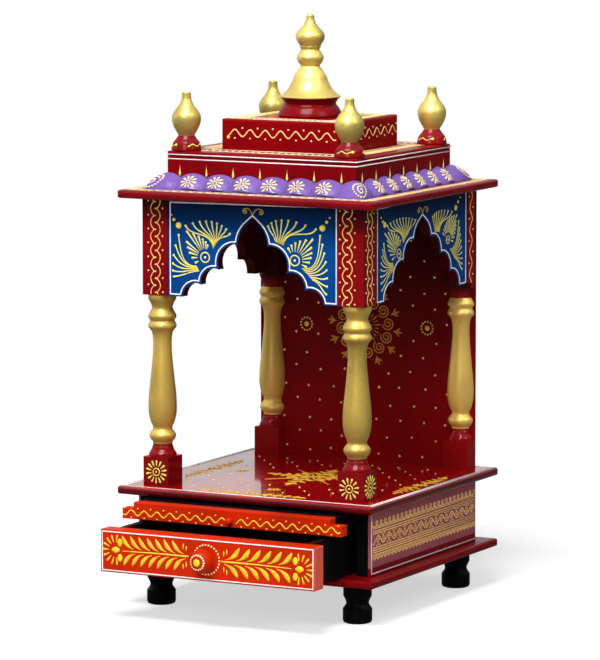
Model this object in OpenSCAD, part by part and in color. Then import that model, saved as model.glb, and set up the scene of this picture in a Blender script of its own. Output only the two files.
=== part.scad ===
// Pooja mandir: a painted wooden home shrine, sizes in millimetres.
// Front is -Y, up is +Z. The origin is on the ground, under the middle of
// the whole footprint with the drawer pulled out as far as it is shown.

/* [Boards] */
// Width and depth of the base board and the floor board
board_w = 302; // [260:1:360]
// How far each edge of the roof board stands in from the floor board's
roof_inset = 1; // [-10:0.5:20]
// Thickness of the three main boards
board_t = 9; // [6:0.5:16]

/* [Feet] */
// Height of the feet
foot_h = 41.5; // [30:0.5:60]
// Radius of a foot
foot_r = 15.3; // [10:0.1:20]
// Distance from a board edge to the middle of a foot
foot_inset = 34.5; // [25:0.5:45]

/* [Plinth] */
// Height of the plinth between base board and floor board
plinth_h = 68.5; // [60:0.5:90]
// How far the plinth's sides stand in from the board's edges
plinth_inset = 14; // [8:0.5:24]
// Thickness of a plinth side
plinth_t = 16; // [12:0.5:20]
// How far the plinth's front edges stand behind the board's front edge
plinth_front = 23; // [18:0.5:30]
// How far the plinth's back stands in from the board's back edge
plinth_rear = 29; // [15:0.5:40]
// Thickness of the plinth's back
plinth_back_t = 12; // [8:0.5:16]

/* [Drawer] */
// How far the drawer is pulled out as shown
drawer_open = 81; // [0:1:150]
// How far the drawer front overlaps each plinth side
drawer_lap = 4.5; // [2:0.5:10]
// Thickness of the drawer front
drawer_front_t = 19; // [12:0.5:24]
// Room behind the closed drawer
drawer_rear_gap = 12.5; // [6:0.5:40]
// Thickness of the drawer's sides and back
drawer_t = 8; // [5:0.5:12]
// Thickness of the drawer's bottom
drawer_bottom_t = 4; // [3:0.5:6]
// Gap between the drawer box and each plinth side
drawer_side_gap = 8.5; // [5:0.5:14]
// Radius of the drawer knob
knob_r = 12.5; // [9:0.5:16]
// How far the drawer knob stands out
knob_l = 21; // [16:0.5:28]

/* [Tray] */
// How far the tray is pulled out as shown
tray_open = 35.5; // [0:0.5:100]
// Thickness of the tray's front strip
tray_front_t = 13; // [10:0.5:18]
// How far the tray's tongues overlap each plinth side
tray_lap = 8; // [4:0.5:14]
// Height of the tray's front strip
tray_h = 18.2; // [15:0.1:24]
// Height of the tongues at the ends of the front strip
tongue_h = 11.5; // [8:0.5:14]
// Thickness of the tray board
tray_t = 8; // [6:0.5:9]
// Room behind the closed tray
tray_rear_gap = 19.5; // [6:0.5:40]
// Gap between the tray board and each plinth side
tray_side_gap = 5.5; // [5:0.5:10]
// Width of a tray runner
runner_w = 12; // [9:0.5:16]
// Height of a tray runner
runner_h = 6; // [4:0.5:6]
// Radius of the tray knob
tray_knob_r = 4; // [3:0.5:6]

/* [Pillars] */
// Height from the floor board to the roof board
pillar_h = 303.5; // [260:0.5:360]
// Side of a pillar's square blocks
pillar_w = 30; // [24:0.5:36]
// Distance from the board edge to the outer face of a pillar
pillar_inset = 21; // [16:0.5:30]
// Height of a pillar's base block
block_h = 30; // [24:0.5:40]
// Height of a pillar's top block, and of the arch panels
head_h = 102; // [90:0.5:120]
// Thickness of the back panel
back_t = 5; // [3:0.5:8]
// How far the back panel's rear face stands in from the board's edge
back_inset = 15; // [10:0.5:24]

/* [Arches] */
// Thickness of the arch panels
arch_t = 11; // [6:0.5:14]
// How far an arch panel stands behind the face of the pillar blocks
arch_set = 1.5; // [0.5:0.5:5]

/* [Upper tiers] */
// How far the cornice stands out from the upper tier
cornice_out = 17.5; // [12:0.5:24]
// Height of the cornice where it meets the upper tier
cornice_h = 17; // [12:0.5:22]
// Depth of the valleys between the cornice lobes
cornice_dip = 4.5; // [2:0.25:6]
// How far the upper tier stands in from the roof board's edges
tier_inset = 39.5; // [32:0.5:60]
// Height of the upper tier's walls
tier_h = 34.2; // [28:0.5:44]
// Thickness of the upper tier's walls
tier_t = 10; // [6:0.5:14]
// How far the lid stands out over the upper tier's walls
lid_over = 0.75; // [0:0.25:6]
// Thickness of the lid
lid_t = 5.3; // [4:0.1:9]
// How far the top box stands in from the upper tier's walls
box_inset = 41.5; // [34:0.5:60]
// Height of the top box
box_h = 32.5; // [24:0.5:44]
// Thickness of the top box's walls and top
box_t = 10; // [6:0.5:14]
// Radius of the top box's eased edges
box_ease = 2.5; // [1:0.25:5]

/* [Finials] */
// Height of a corner finial
finial_h = 61; // [50:0.5:80]
// Largest radius of a corner finial
finial_r = 16; // [12:0.1:18]
// Distance from the lid's edge to the middle of a corner finial
finial_inset = 15.3; // [15:0.1:24]
// Height of the crown's turned base
crown_base_h = 20; // [14:0.5:28]
// Radius of the crown's turned base
crown_base_r = 34; // [26:0.5:40]
// Height of the crown above its base
crown_h = 87.5; // [70:0.5:110]
// Radius of the crown's bell
crown_r = 32.5; // [24:0.5:36]

/* [Hidden] */
$fn = 48;
// Running gap under what slides, and the stop gap behind its front
run_gap = 0.3;
stop_gap = 0.5;
// Gaps above the drawer and above the tray
tray_gap = 3;
tray_top_gap = 2;

maroon = [0.40, 0.05, 0.06];
plum = [0.45, 0.08, 0.42];
sky = [0.10, 0.35, 0.62];
gold = [0.83, 0.62, 0.16];
black = [0.05, 0.05, 0.05];
vermilion = [0.80, 0.16, 0.06];

// Levels from the ground up
base_z = foot_h;
plinth_z = base_z + board_t;
floor_z = plinth_z + plinth_h;
shrine_z = floor_z + board_t;
roof_z = shrine_z + pillar_h;
tier_z = roof_z + board_t;
lid_z = tier_z + tier_h;
box_z = lid_z + lid_t;
crown_z = box_z + box_h;

// Plan of the cabinet about its own middle
half = board_w / 2;
roof_w = board_w - 2 * roof_inset;
plinth_w = board_w - 2 * plinth_inset;
tier_w = roof_w - 2 * tier_inset;
cornice_w = tier_w + 2 * cornice_out;
lid_w = tier_w + 2 * lid_over;
box_w = tier_w - 2 * box_inset;
front_y = -half + plinth_front;
rear_y = half - plinth_rear;
inner_w = plinth_w - 2 * plinth_t;
pillar_x = half - pillar_inset - pillar_w / 2;
back_y = half - back_inset - back_t;
head_z = roof_z - head_h;
bay_w = 2 * pillar_x - pillar_w;
side_y0 = -pillar_x + pillar_w / 2;
side_y1 = back_y - pillar_w / 2;

// Drawer and tray sizes
drawer_z = plinth_z + run_gap;
drawer_h = plinth_h - run_gap - tray_gap - tray_h - tray_top_gap;
drawer_front_w = inner_w + 2 * drawer_lap;
drawer_w = inner_w - 2 * drawer_side_gap;
drawer_y = front_y - stop_gap - drawer_open;
plinth_l = rear_y - plinth_back_t - front_y;
drawer_l = plinth_l + stop_gap - drawer_rear_gap;
tray_z = drawer_z + drawer_h + tray_gap;
tray_front_w = inner_w + 2 * tray_lap;
tray_w = inner_w - 2 * tray_side_gap;
tray_y = front_y - stop_gap - tray_open;
tray_l = plinth_l + stop_gap - tray_rear_gap;
tray_board_z = tray_z + tray_h - tray_t;

// The whole footprint is centred on the origin
reach = -drawer_y + drawer_front_t + knob_l;
cabinet_y = (reach - half) / 2;

// Points of a rounded rectangle about its middle
function round_rect(w, h, r, n = 6) = [
  for (c = [[1, 1, 0], [-1, 1, 90], [-1, -1, 180], [1, -1, 270]])
    for (i = [0 : n])
      [c[0] * (w / 2 - r) + r * cos(c[2] + 90 * i / n),
       c[1] * (h / 2 - r) + r * sin(c[2] + 90 * i / n)]];

// One point of a smooth curve through four neighbouring points
function curve_at(a, b, c, d, t) =
  0.5 * (2 * b + (c - a) * t + (2 * a - 5 * b + 4 * c - d) * t * t
    + (3 * b - a - 3 * c + d) * t * t * t);

// A smooth curve through points, with n steps between each two
function smooth(p, n) = [
  for (i = [0 : len(p) - 2])
    for (j = [0 : n - 1])
      curve_at(p[max(i - 1, 0)], p[i], p[i + 1], p[min(i + 2, len(p) - 1)], j / n),
  p[len(p) - 1]];

// The same points, closed to the axis at both ends
function to_axis(p) = concat([[0, p[0][1]]], p, [[0, p[len(p) - 1][1]]]);

// Puts what is built about the cabinet's middle into the part's frame
module placed(x = 0, y = 0, z = 0) {
  translate([x, y + cabinet_y, z]) children();
}

// A board with round edges of radius r, standing on its underside
module slab(w, d, t, r, corner = 4) {
  intersection() {
    linear_extrude(height = t) polygon(round_rect(w, d, corner));
    translate([0, d / 2 + 1, t / 2]) rotate([90, 0, 0])
      linear_extrude(height = d + 2) polygon(round_rect(w, t, r));
    translate([-w / 2 - 1, 0, t / 2]) rotate([90, 0, 90])
      linear_extrude(height = w + 2) polygon(round_rect(d, t, r));
  }
}

// A turned piece from [radius, height] points
module turned(p) {
  rotate_extrude() polygon(to_axis(p));
}

module foot(sx, sy) {
  color(black)
    placed(sx * (half - foot_inset), sy * (half - foot_inset), 0)
      turned(concat(
        [[foot_r - 3, 0], [foot_r - 0.9, 0.9], [foot_r, 3]],
        smooth([[foot_r, 0.36 * foot_h], [0.87 * foot_r, 0.42 * foot_h], [0.77 * foot_r, 0.5 * foot_h],
          [0.85 * foot_r, 0.6 * foot_h], [0.97 * foot_r, 0.68 * foot_h]], 3),
        [[0.97 * foot_r, foot_h]]));
}

module foot_front_left() { foot(-1, -1); }
module foot_front_right() { foot(1, -1); }
module foot_back_left() { foot(-1, 1); }
module foot_back_right() { foot(1, 1); }

module base_board() {
  color(maroon) placed(0, 0, base_z) slab(board_w, board_w, board_t, 0.46 * board_t);
}

module floor_board() {
  color(maroon) placed(0, 0, floor_z) slab(board_w, board_w, board_t, 0.46 * board_t);
}

module roof_board() {
  color(maroon) placed(0, 0, roof_z) slab(roof_w, roof_w, board_t, 0.46 * board_t);
}

module plinth_side(sx) {
  color(maroon)
    placed(sx * (plinth_w - plinth_t) / 2, (front_y + rear_y) / 2, plinth_z)
      translate([-plinth_t / 2, (front_y - rear_y) / 2, 0])
        cube([plinth_t, rear_y - front_y, plinth_h]);
}

module plinth_left() { plinth_side(-1); }
module plinth_right() { plinth_side(1); }

module plinth_back() {
  color(maroon)
    placed(-inner_w / 2, rear_y - plinth_back_t, plinth_z)
      cube([inner_w, plinth_back_t, plinth_h]);
}

module tray_runner(sx) {
  color(black)
    placed(sx * (inner_w - runner_w) / 2 - runner_w / 2, front_y + 2, tray_board_z - run_gap - runner_h)
      cube([runner_w, plinth_l - 4, runner_h]);
}

module tray_runner_left() { tray_runner(-1); }
module tray_runner_right() { tray_runner(1); }

module drawer_front() {
  color(vermilion)
    placed(0, drawer_y - drawer_front_t / 2, drawer_z)
      slab(drawer_front_w, drawer_front_t, drawer_h, 1.5, 1.5);
}

module drawer_side(sx) {
  color(black)
    placed(sx * (drawer_w - drawer_t) / 2 - drawer_t / 2, drawer_y, drawer_z)
      cube([drawer_t, drawer_l, drawer_h]);
}

module drawer_left() { drawer_side(-1); }
module drawer_right() { drawer_side(1); }

module drawer_back() {
  color(black)
    placed(-drawer_w / 2 + drawer_t, drawer_y + drawer_l - drawer_t, drawer_z)
      cube([drawer_w - 2 * drawer_t, drawer_t, drawer_h]);
}

module drawer_bottom() {
  color(black)
    placed(-drawer_w / 2 + drawer_t, drawer_y, drawer_z + 1)
      cube([drawer_w - 2 * drawer_t, drawer_l - drawer_t, drawer_bottom_t]);
}

module drawer_knob() {
  color(vermilion)
    placed(0, drawer_y - drawer_front_t, drawer_z + drawer_h / 2)
      rotate([90, 0, 0])
        turned(smooth([[0.6 * knob_r, 0], [0.55 * knob_r, 0.2 * knob_l], [0.93 * knob_r, 0.36 * knob_l],
          [knob_r, 0.55 * knob_l], [0.85 * knob_r, 0.8 * knob_l], [0.5 * knob_r, 0.96 * knob_l],
          [0.1, knob_l]], 4));
}

module tray_front() {
  color(vermilion)
    placed(0, tray_y - tray_front_t / 2, 0)
      union() {
        translate([0, 0, tray_z]) slab(tray_front_w, tray_front_t, tongue_h, 1, 1);
        translate([0, 0, tray_z]) slab(tray_w, tray_front_t, tray_h, 1, 1);
      }
}

module tray_board() {
  color(black)
    placed(-tray_w / 2, tray_y, tray_board_z)
      cube([tray_w, tray_l, tray_t]);
}

module tray_knob() {
  color(vermilion)
    placed(0, tray_y - tray_front_t, tray_z + 0.4 * tray_h)
      rotate([90, 0, 0])
        turned(smooth([[0.6 * tray_knob_r, 0], [0.6 * tray_knob_r, 0.5 * tray_knob_r],
          [tray_knob_r, 1.2 * tray_knob_r], [0.7 * tray_knob_r, 1.9 * tray_knob_r],
          [0.1, 2.1 * tray_knob_r]], 4));
}

// Shaft between the blocks: radius as a share of half the block, height
// as a share of the shaft's length. It runs on into both blocks.
root = 2;
function shaft_points() = let (l = pillar_h - head_h - block_h, w = pillar_w / 2) [
  [0.9 * w, block_h - root],
  for (p = smooth([[0.98, 0], [0.96, 0.018], [0.78, 0.042], [0.74, 0.056], [0.68, 0.068], [0.68, 0.085]], 2))
    [p[0] * w, block_h + p[1] * l],
  for (i = [0 : 8])
    [(0.69 + 0.25 * sin(22.5 * i)) * w, block_h + (0.088 + 0.076 * i / 8) * l],
  for (p = smooth([[0.67, 0.172], [0.71, 0.187], [0.84, 0.212], [0.96, 0.256], [1.0, 0.305],
      [0.96, 0.385], [0.85, 0.475], [0.75, 0.56], [0.665, 0.65], [0.65, 0.7], [0.68, 0.742],
      [0.76, 0.772]], 3))
    [p[0] * w, block_h + p[1] * l],
  for (p = smooth([[0.88, 0.785], [1, 0.8], [0.97, 0.818], [0.85, 0.838], [0.97, 0.854], [0.99, 0.87],
      [0.87, 0.89], [0.73, 0.915], [0.8, 0.942], [0.98, 0.972], [0.98, 1]], 3))
    [p[0] * w, block_h + p[1] * l],
  [0.9 * w, block_h + l + root]];

module pillar() {
  union() {
    translate([-pillar_w / 2, -pillar_w / 2, 0]) cube([pillar_w, pillar_w, block_h]);
    turned(shaft_points());
    translate([-pillar_w / 2, -pillar_w / 2, pillar_h - head_h]) cube([pillar_w, pillar_w, head_h]);
  }
}

// The front half of a pillar, flat at the back
module half_pillar() {
  intersection() {
    pillar();
    translate([-pillar_w, -pillar_w, -1]) cube([2 * pillar_w, pillar_w, pillar_h + 2]);
  }
}

module pillar_front_left() { color(gold) placed(-pillar_x, -pillar_x, shrine_z) pillar(); }
module pillar_front_right() { color(gold) placed(pillar_x, -pillar_x, shrine_z) pillar(); }
module pillar_back_left() { color(gold) placed(-pillar_x, back_y, shrine_z) half_pillar(); }
module pillar_back_right() { color(gold) placed(pillar_x, back_y, shrine_z) half_pillar(); }

// Points from the tip of a cusped arch down one side: shares of half the
// panel's length and of its height
front_cusps = [[0, 0.838], [0.083, 0.77], [0.177, 0.566], [0.398, 0.3], [0.61, 0.135], [0.83, 0]];
side_cusps = [[0, 0.799], [0.098, 0.734], [0.182, 0.576], [0.394, 0.378], [0.614, 0.171], [0.815, 0]];

// Points of a round arc from p to q that rises to the left, without q
function arc_points(p, q, rise, n) = let (
    c = norm(q - p),
    r = (c * c / 4 + rise * rise) / (2 * rise),
    along = (q - p) / c,
    left = [-along[1], along[0]],
    middle = (p + q) / 2 + left * (rise - r),
    turn = asin(c / 2 / r))
  [for (i = [0 : n - 1]) let (a = turn * (2 * i / n - 1))
    middle + r * (along * sin(a) + left * cos(a))];

// One side of a cusped opening, from its tip down to its foot. The tip
// is almost straight, so it needs few steps.
cusp_steps = [2, 6, 10, 10, 10];
cusp_rises = [0.012, 0.1, 0.29, 0.29, 0.27];
function arch_side(cusps, l, h) = let (p = [for (c = cusps) [c[0] * l / 2, c[1] * h]])
  [for (i = [0 : 4]) each arc_points(p[i], p[i + 1], cusp_rises[i] * norm(p[i + 1] - p[i]), cusp_steps[i]),
   p[5]];

// A panel of length l with a cusped opening, standing on its feet
module arch_panel(cusps, l) {
  right = arch_side(cusps, l, head_h);
  last = len(right) - 1;
  left = [for (i = [0 : last - 1]) [-right[last - i][0], right[last - i][1]]];
  translate([0, arch_t, 0]) rotate([90, 0, 0])
    linear_extrude(height = arch_t)
      polygon(concat([[l / 2, 0], [l / 2, head_h], [-l / 2, head_h], [-l / 2, 0]], left, right));
}

module arch_front() {
  color(sky)
    placed(0, -pillar_x - pillar_w / 2 + arch_set, head_z) arch_panel(front_cusps, bay_w);
}

module arch_right() {
  color(sky)
    placed(pillar_x + pillar_w / 2 - arch_set, (side_y0 + side_y1) / 2, head_z)
      rotate([0, 0, 90]) arch_panel(side_cusps, side_y1 - side_y0);
}

module arch_left() {
  color(sky)
    placed(-pillar_x - pillar_w / 2 + arch_set, (side_y0 + side_y1) / 2, head_z)
      rotate([0, 0, -90]) arch_panel(side_cusps, side_y1 - side_y0);
}

module back_panel() {
  color(maroon)
    placed(-pillar_x - pillar_w / 2, back_y, shrine_z)
      cube([2 * pillar_x + pillar_w, back_t, pillar_h]);
}

// Cornice: a lobed round moulding with its crest on an arc from the toe
// to the wall of the upper tier
crest_chord = sqrt(cornice_out * cornice_out + cornice_h * cornice_h);
crest_r = 1.05 * crest_chord;
crest_drop = sqrt(crest_r * crest_r - crest_chord * crest_chord / 4);
crest_y = cornice_out / 2 - crest_drop * cornice_h / crest_chord;
crest_z = cornice_h / 2 - crest_drop * cornice_out / crest_chord;
lobe_n = 6;
lobe_w = 0.86 * tier_w / lobe_n;
lobe_r = (lobe_w * lobe_w / 4 + cornice_dip * cornice_dip) / (2 * cornice_dip);

// Outline of the moulding along its length, for turning: round lobes,
// with half a lobe and a plain end at each corner
module cornice_outline() {
  l = cornice_w / 2 + 4;
  edge = lobe_n * lobe_w / 2;
  dip = crest_r - cornice_dip;
  lobes = [for (i = [0 : lobe_n - 1])
    each arc_points([dip, edge - i * lobe_w], [dip, edge - (i + 1) * lobe_w], cornice_dip, 10)];
  half_lobe = [for (q = arc_points([dip, -edge], [dip, -edge - lobe_w], cornice_dip, 10)) if (q[1] > -edge - lobe_w / 2) q];
  n = len(half_lobe);
  polygon(concat([[0, l], [crest_r, l], [crest_r, edge + lobe_w / 2]],
    [for (i = [1 : n - 1]) [half_lobe[n - i][0], -half_lobe[n - i][1]]],
    lobes, half_lobe, [[crest_r, -edge - lobe_w / 2], [crest_r, -l], [0, -l]]));
}

// The moulding along the front, mitred at both ends
module cornice() {
  color(plum)
    placed(0, 0, tier_z)
      intersection() {
        linear_extrude(height = cornice_h + 6)
          polygon([[-tier_w / 2, -tier_w / 2], [tier_w / 2, -tier_w / 2],
            [cornice_w / 2 + 3, -cornice_w / 2 - 3], [-cornice_w / 2 - 3, -cornice_w / 2 - 3]]);
        translate([0, -tier_w / 2 - crest_y, crest_z]) rotate([0, 90, 0])
          rotate_extrude($fn = 96) cornice_outline();
      }
}

// Turns what is built on the front about the cabinet's middle
module about(a) {
  translate([0, cabinet_y, 0]) rotate([0, 0, a]) translate([0, -cabinet_y, 0]) children();
}

module cornice_front() { cornice(); }
module cornice_right() { about(90) cornice(); }
module cornice_back() { about(180) cornice(); }
module cornice_left() { about(270) cornice(); }

module upper_tier() {
  color(maroon)
    placed(0, 0, tier_z)
      difference() {
        translate([-tier_w / 2, -tier_w / 2, 0]) cube([tier_w, tier_w, tier_h]);
        translate([-tier_w / 2 + tier_t, -tier_w / 2 + tier_t, -1])
          cube([tier_w - 2 * tier_t, tier_w - 2 * tier_t, tier_h + 2]);
      }
}

module tier_lid() {
  color(maroon) placed(0, 0, lid_z) slab(lid_w, lid_w, lid_t, 0.46 * lid_t, 3);
}

// The upper half of a taller board with round edges, so that its foot
// stays square on the lid
module top_box() {
  color(maroon)
    placed(0, 0, box_z)
      difference() {
        translate([0, 0, -box_h]) slab(box_w, box_w, 2 * box_h, box_ease, box_ease);
        translate([-box_w, -box_w, -2 * box_h]) cube([2 * box_w, 2 * box_w, 2 * box_h]);
        translate([-box_w / 2 + box_t, -box_w / 2 + box_t, -1])
          cube([box_w - 2 * box_t, box_w - 2 * box_t, box_h - box_t + 1]);
      }
}

// Corner finial: radius as a share of its largest, height as a share of
// its whole height
module finial(sx, sy) {
  at = lid_w / 2 - finial_inset;
  color(gold)
    placed(sx * at, sy * at, box_z)
      turned([for (p = concat(
          smooth([[0.97, 0], [1, 0.025], [0.96, 0.07], [0.88, 0.135], [0.69, 0.197], [0.53, 0.258]], 3),
          smooth([[0.54, 0.268], [0.63, 0.31], [0.77, 0.37], [0.9, 0.45], [0.955, 0.53], [0.92, 0.61],
            [0.73, 0.7], [0.5, 0.775], [0.345, 0.86], [0.305, 0.92], [0.3, 0.985]], 2),
          [[0.25, 1]]))
        [p[0] * finial_r, p[1] * finial_h]]);
}

module finial_front_left() { finial(-1, -1); }
module finial_front_right() { finial(1, -1); }
module finial_back_left() { finial(-1, 1); }
module finial_back_right() { finial(1, 1); }

module crown_base() {
  color(maroon)
    placed(0, 0, crown_z)
      turned([for (p = smooth([[0.97, 0], [1, 0.08], [0.97, 0.25], [0.885, 0.5], [0.81, 0.66],
          [0.84, 0.84], [0.92, 1]], 3))
        [p[0] * crown_base_r, p[1] * crown_base_h]]);
}

module crown() {
  color(gold)
    placed(0, 0, crown_z + crown_base_h)
      turned([for (p = concat(
          smooth([[0.965, 0], [1, 0.015], [0.9, 0.043], [0.735, 0.1], [0.6, 0.19], [0.52, 0.268],
            [0.41, 0.325], [0.31, 0.38]], 3),
          smooth([[0.315, 0.39], [0.4, 0.43], [0.44, 0.482], [0.39, 0.527], [0.31, 0.57]], 3),
          smooth([[0.3, 0.585], [0.345, 0.61], [0.35, 0.632], [0.44, 0.685], [0.475, 0.735], [0.42, 0.79],
            [0.24, 0.863], [0.145, 0.93], [0.126, 0.985]], 3),
          [[0.09, 1]]))
        [p[0] * crown_r, p[1] * crown_h]]);
}

foot_front_left();
foot_front_right();
foot_back_left();
foot_back_right();
base_board();
plinth_left();
plinth_right();
plinth_back();
tray_runner_left();
tray_runner_right();
floor_board();
drawer_front();
drawer_left();
drawer_right();
drawer_back();
drawer_bottom();
drawer_knob();
tray_front();
tray_board();
tray_knob();
pillar_front_left();
pillar_front_right();
pillar_back_left();
pillar_back_right();
arch_front();
arch_left();
arch_right();
back_panel();
roof_board();
cornice_front();
cornice_right();
cornice_back();
cornice_left();
upper_tier();
tier_lid();
top_box();
finial_front_left();
finial_front_right();
finial_back_left();
finial_back_right();
crown_base();
crown();
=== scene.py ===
# %% [markdown]
# # A painted home shrine
# This lesson dresses a wooden pooja mandir: maroon lacquer, blue cusped arches, lilac lobes, gold
# turnings and hand-piped ornament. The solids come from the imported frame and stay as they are. Blender
# adds the finishes, and the ornament as real raised paint, because such shrines are decorated with
# thick colour squeezed from a cone.

# %% Load the frame
import math

import bpy
import numpy as np
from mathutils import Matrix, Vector


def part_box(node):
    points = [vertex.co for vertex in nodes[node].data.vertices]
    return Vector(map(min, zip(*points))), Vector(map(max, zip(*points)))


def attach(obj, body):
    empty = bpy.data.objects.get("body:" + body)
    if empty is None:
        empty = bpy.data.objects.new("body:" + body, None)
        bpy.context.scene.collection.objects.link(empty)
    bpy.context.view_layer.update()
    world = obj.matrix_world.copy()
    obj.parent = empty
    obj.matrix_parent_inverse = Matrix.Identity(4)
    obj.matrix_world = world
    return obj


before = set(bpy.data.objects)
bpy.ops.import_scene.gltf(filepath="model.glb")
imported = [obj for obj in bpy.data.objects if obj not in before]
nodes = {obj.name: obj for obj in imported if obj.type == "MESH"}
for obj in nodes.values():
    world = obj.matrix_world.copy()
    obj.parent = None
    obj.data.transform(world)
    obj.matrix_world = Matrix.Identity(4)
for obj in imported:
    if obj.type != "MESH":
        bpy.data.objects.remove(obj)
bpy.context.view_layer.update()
MM = 0.001

# %% [markdown]
# ## Where the cabinet stands
# The frame's origin is under the whole footprint, drawer included, so the cabinet's own middle lies
# behind it. The floor board tells where: it is square and centred on the cabinet. The front arch gives
# two heights that many pieces share: the foot of the pillar heads and the underside of the roof.

# %% Middle of the cabinet
floor_low, floor_high = (np.array(c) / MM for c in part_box("floor_board"))
CABINET_Y = (floor_low[1] + floor_high[1]) / 2
FLOOR_TOP = floor_high[2]
print("cabinet middle at y", round(CABINET_Y, 2), "mm, floor top at", round(FLOOR_TOP, 2), "mm")


def node_box(name):
    """Lowest and highest corner of a CAD node, in millimetres about the cabinet's own middle."""
    low, high = (np.array(c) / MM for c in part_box(name))
    return low - (0, CABINET_Y, 0), high - (0, CABINET_Y, 0)


arch_low, arch_high = node_box("arch_front")
HEAD_FOOT, ROOF_UNDER = arch_low[2], arch_high[2]
HEAD_HEIGHT = ROOF_UNDER - HEAD_FOOT

# %% [markdown]
# ## Camera
# The photograph was matched by fitting a camera to the corners of the boards: it stands 27.8 degrees to
# the right of the front and looks 7 degrees down from almost 5 metres, so the lens is long.

# %% Camera
AZIMUTH = math.radians(27.81)
ELEVATION = math.radians(7.09)
DISTANCE = 4.745
SENSOR = 36.0
FOCAL_PIXELS, PICTURE_PIXELS = 4469.0, 660.0
LENS = FOCAL_PIXELS * SENSOR / PICTURE_PIXELS
AIM_HEIGHT, AIM_LEFT = 0.2851, 0.0108
look_right = Vector((math.cos(AZIMUTH), math.sin(AZIMUTH), 0))
look_back = Vector((math.sin(AZIMUTH) * math.cos(ELEVATION), -math.cos(AZIMUTH) * math.cos(ELEVATION),
                    math.sin(ELEVATION)))
target = Vector((0, CABINET_Y * MM, AIM_HEIGHT)) - AIM_LEFT * look_right
camera_data = bpy.data.cameras.new("camera")
camera_data.lens = LENS
camera_data.sensor_width = SENSOR
camera_data.clip_end = 50.0
camera = bpy.data.objects.new("camera", camera_data)
camera.location = target + DISTANCE * look_back
camera.rotation_mode = "QUATERNION"
camera.rotation_quaternion = (-look_back).to_track_quat("-Z", "Y")
bpy.context.scene.collection.objects.link(camera)
bpy.context.scene.camera = camera
print("camera lens", round(LENS, 1), "mm")

# %% [markdown]
# ## Studio
# A pale floor, a white surround and large soft lamps. The surround is white to the eye. In reflections it
# is white overhead and towards the back on the left, and dim where a photographer would stand, so the
# level boards mirror white and the upright ones keep their deep colour. It lights the object only softly.

# %% Surround and lamps
scene = bpy.context.scene
scene.view_settings.view_transform = "Standard"
world = bpy.data.worlds.new("studio")
scene.world = world
world.use_nodes = True
world_tree = world.node_tree


def fill(tree, node, inputs):
    """Sets inputs of a shader node. One that is given a socket is linked to it."""
    for place, value in dict(inputs).items():
        if isinstance(value, bpy.types.NodeSocket):
            tree.links.new(value, node.inputs[place])
        else:
            node.inputs[place].default_value = value


def add_node(tree, kind, inputs=(), **settings):
    """A new shader node with its settings and inputs."""
    made = tree.nodes.new(kind)
    for key, value in settings.items():
        setattr(made, key, value)
    fill(tree, made, inputs)
    return made


rays = add_node(world_tree, "ShaderNodeLightPath").outputs
direction = add_node(world_tree, "ShaderNodeTexCoord").outputs["Generated"]
DIM, SOFT_LIGHT = 0.06, 0.09


def white_towards(way, start, end, level):
    """A level of white in the directions that lie along way, next to none in the others, softly bordered."""
    share = add_node(world_tree, "ShaderNodeVectorMath", {0: direction, 1: way}, operation="DOT_PRODUCT")
    border = {"Value": share.outputs["Value"], "From Min": start, "From Max": end,
              "To Min": DIM, "To Max": level}
    soft = add_node(world_tree, "ShaderNodeMapRange", border, interpolation_type="SMOOTHSTEP")
    return soft.outputs["Result"]


back_left = white_towards((-0.8, 0.6, 0.0), 0.35, 0.8, 0.78)
overhead = white_towards((0.0, 0.0, 1.0), 0.2, 0.7, 1.0)
mirrored = add_node(world_tree, "ShaderNodeMath", {0: back_left, 1: overhead}, operation="MAXIMUM")
lit = add_node(world_tree, "ShaderNodeMix",
               {"Factor": rays["Is Glossy Ray"], "A": SOFT_LIGHT, "B": mirrored.outputs[0]})
seen = add_node(world_tree, "ShaderNodeMath",
                {0: rays["Is Camera Ray"], 1: rays["Is Transmission Ray"]}, operation="MAXIMUM")
white = add_node(world_tree, "ShaderNodeMix",
                 {"Factor": seen.outputs[0], "A": lit.outputs["Result"], "B": 1.0})
fill(world_tree, world_tree.nodes["Background"],
     {"Color": (1.0, 1.0, 1.0, 1.0), "Strength": white.outputs["Result"]})


def lamp(name, place, size, power, aim=(0, 0.05, 0.3)):
    """A rectangular area lamp at a place in metres, turned towards aim."""
    data = bpy.data.lights.new(name, "AREA")
    data.shape = "RECTANGLE"
    data.size, data.size_y = size
    data.energy = power
    lamp_object = bpy.data.objects.new(name, data)
    lamp_object.location = place
    lamp_object.rotation_mode = "QUATERNION"
    lamp_object.rotation_quaternion = (Vector(aim) - Vector(place)).to_track_quat("-Z", "Y")
    scene.collection.objects.link(lamp_object)


lamp("top_lamp", (0.2, -1.6, 2.9), (1.6, 1.2), 128)
lamp("front_lamp", (0.6, -3.2, 1.6), (1.2, 1.2), 26)
lamp("left_lamp", (-2.4, -1.2, 1.2), (1.2, 1.6), 6)
lamp("right_lamp", (2.6, -0.4, 2.4), (1.0, 1.4), 26)

# %% [markdown]
# ## Ground
# The shrine stands on a plain pale floor, a level grid. Away from the shrine its colour fades to the
# white of the surround, so no horizon shows. Near the shrine it keeps the shadow. In reflections it is
# dim, so that it lays no haze over the dark paint.


# %% Ground
def ground_sheet(half=1.6, steps=5):
    """A level grid in x and y, as wide as it is long."""
    line = np.linspace(-half, half, steps)
    grid_x, grid_y = np.meshgrid(line, line)
    points = np.stack([grid_x, grid_y, np.zeros_like(grid_x)], -1).reshape(-1, 3)
    row = np.arange(steps - 1)[:, None] * steps + np.arange(steps - 1)[None, :]
    quads = np.stack([row, row + 1, row + steps + 1, row + steps], -1).reshape(-1, 4)
    return points, quads


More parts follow.
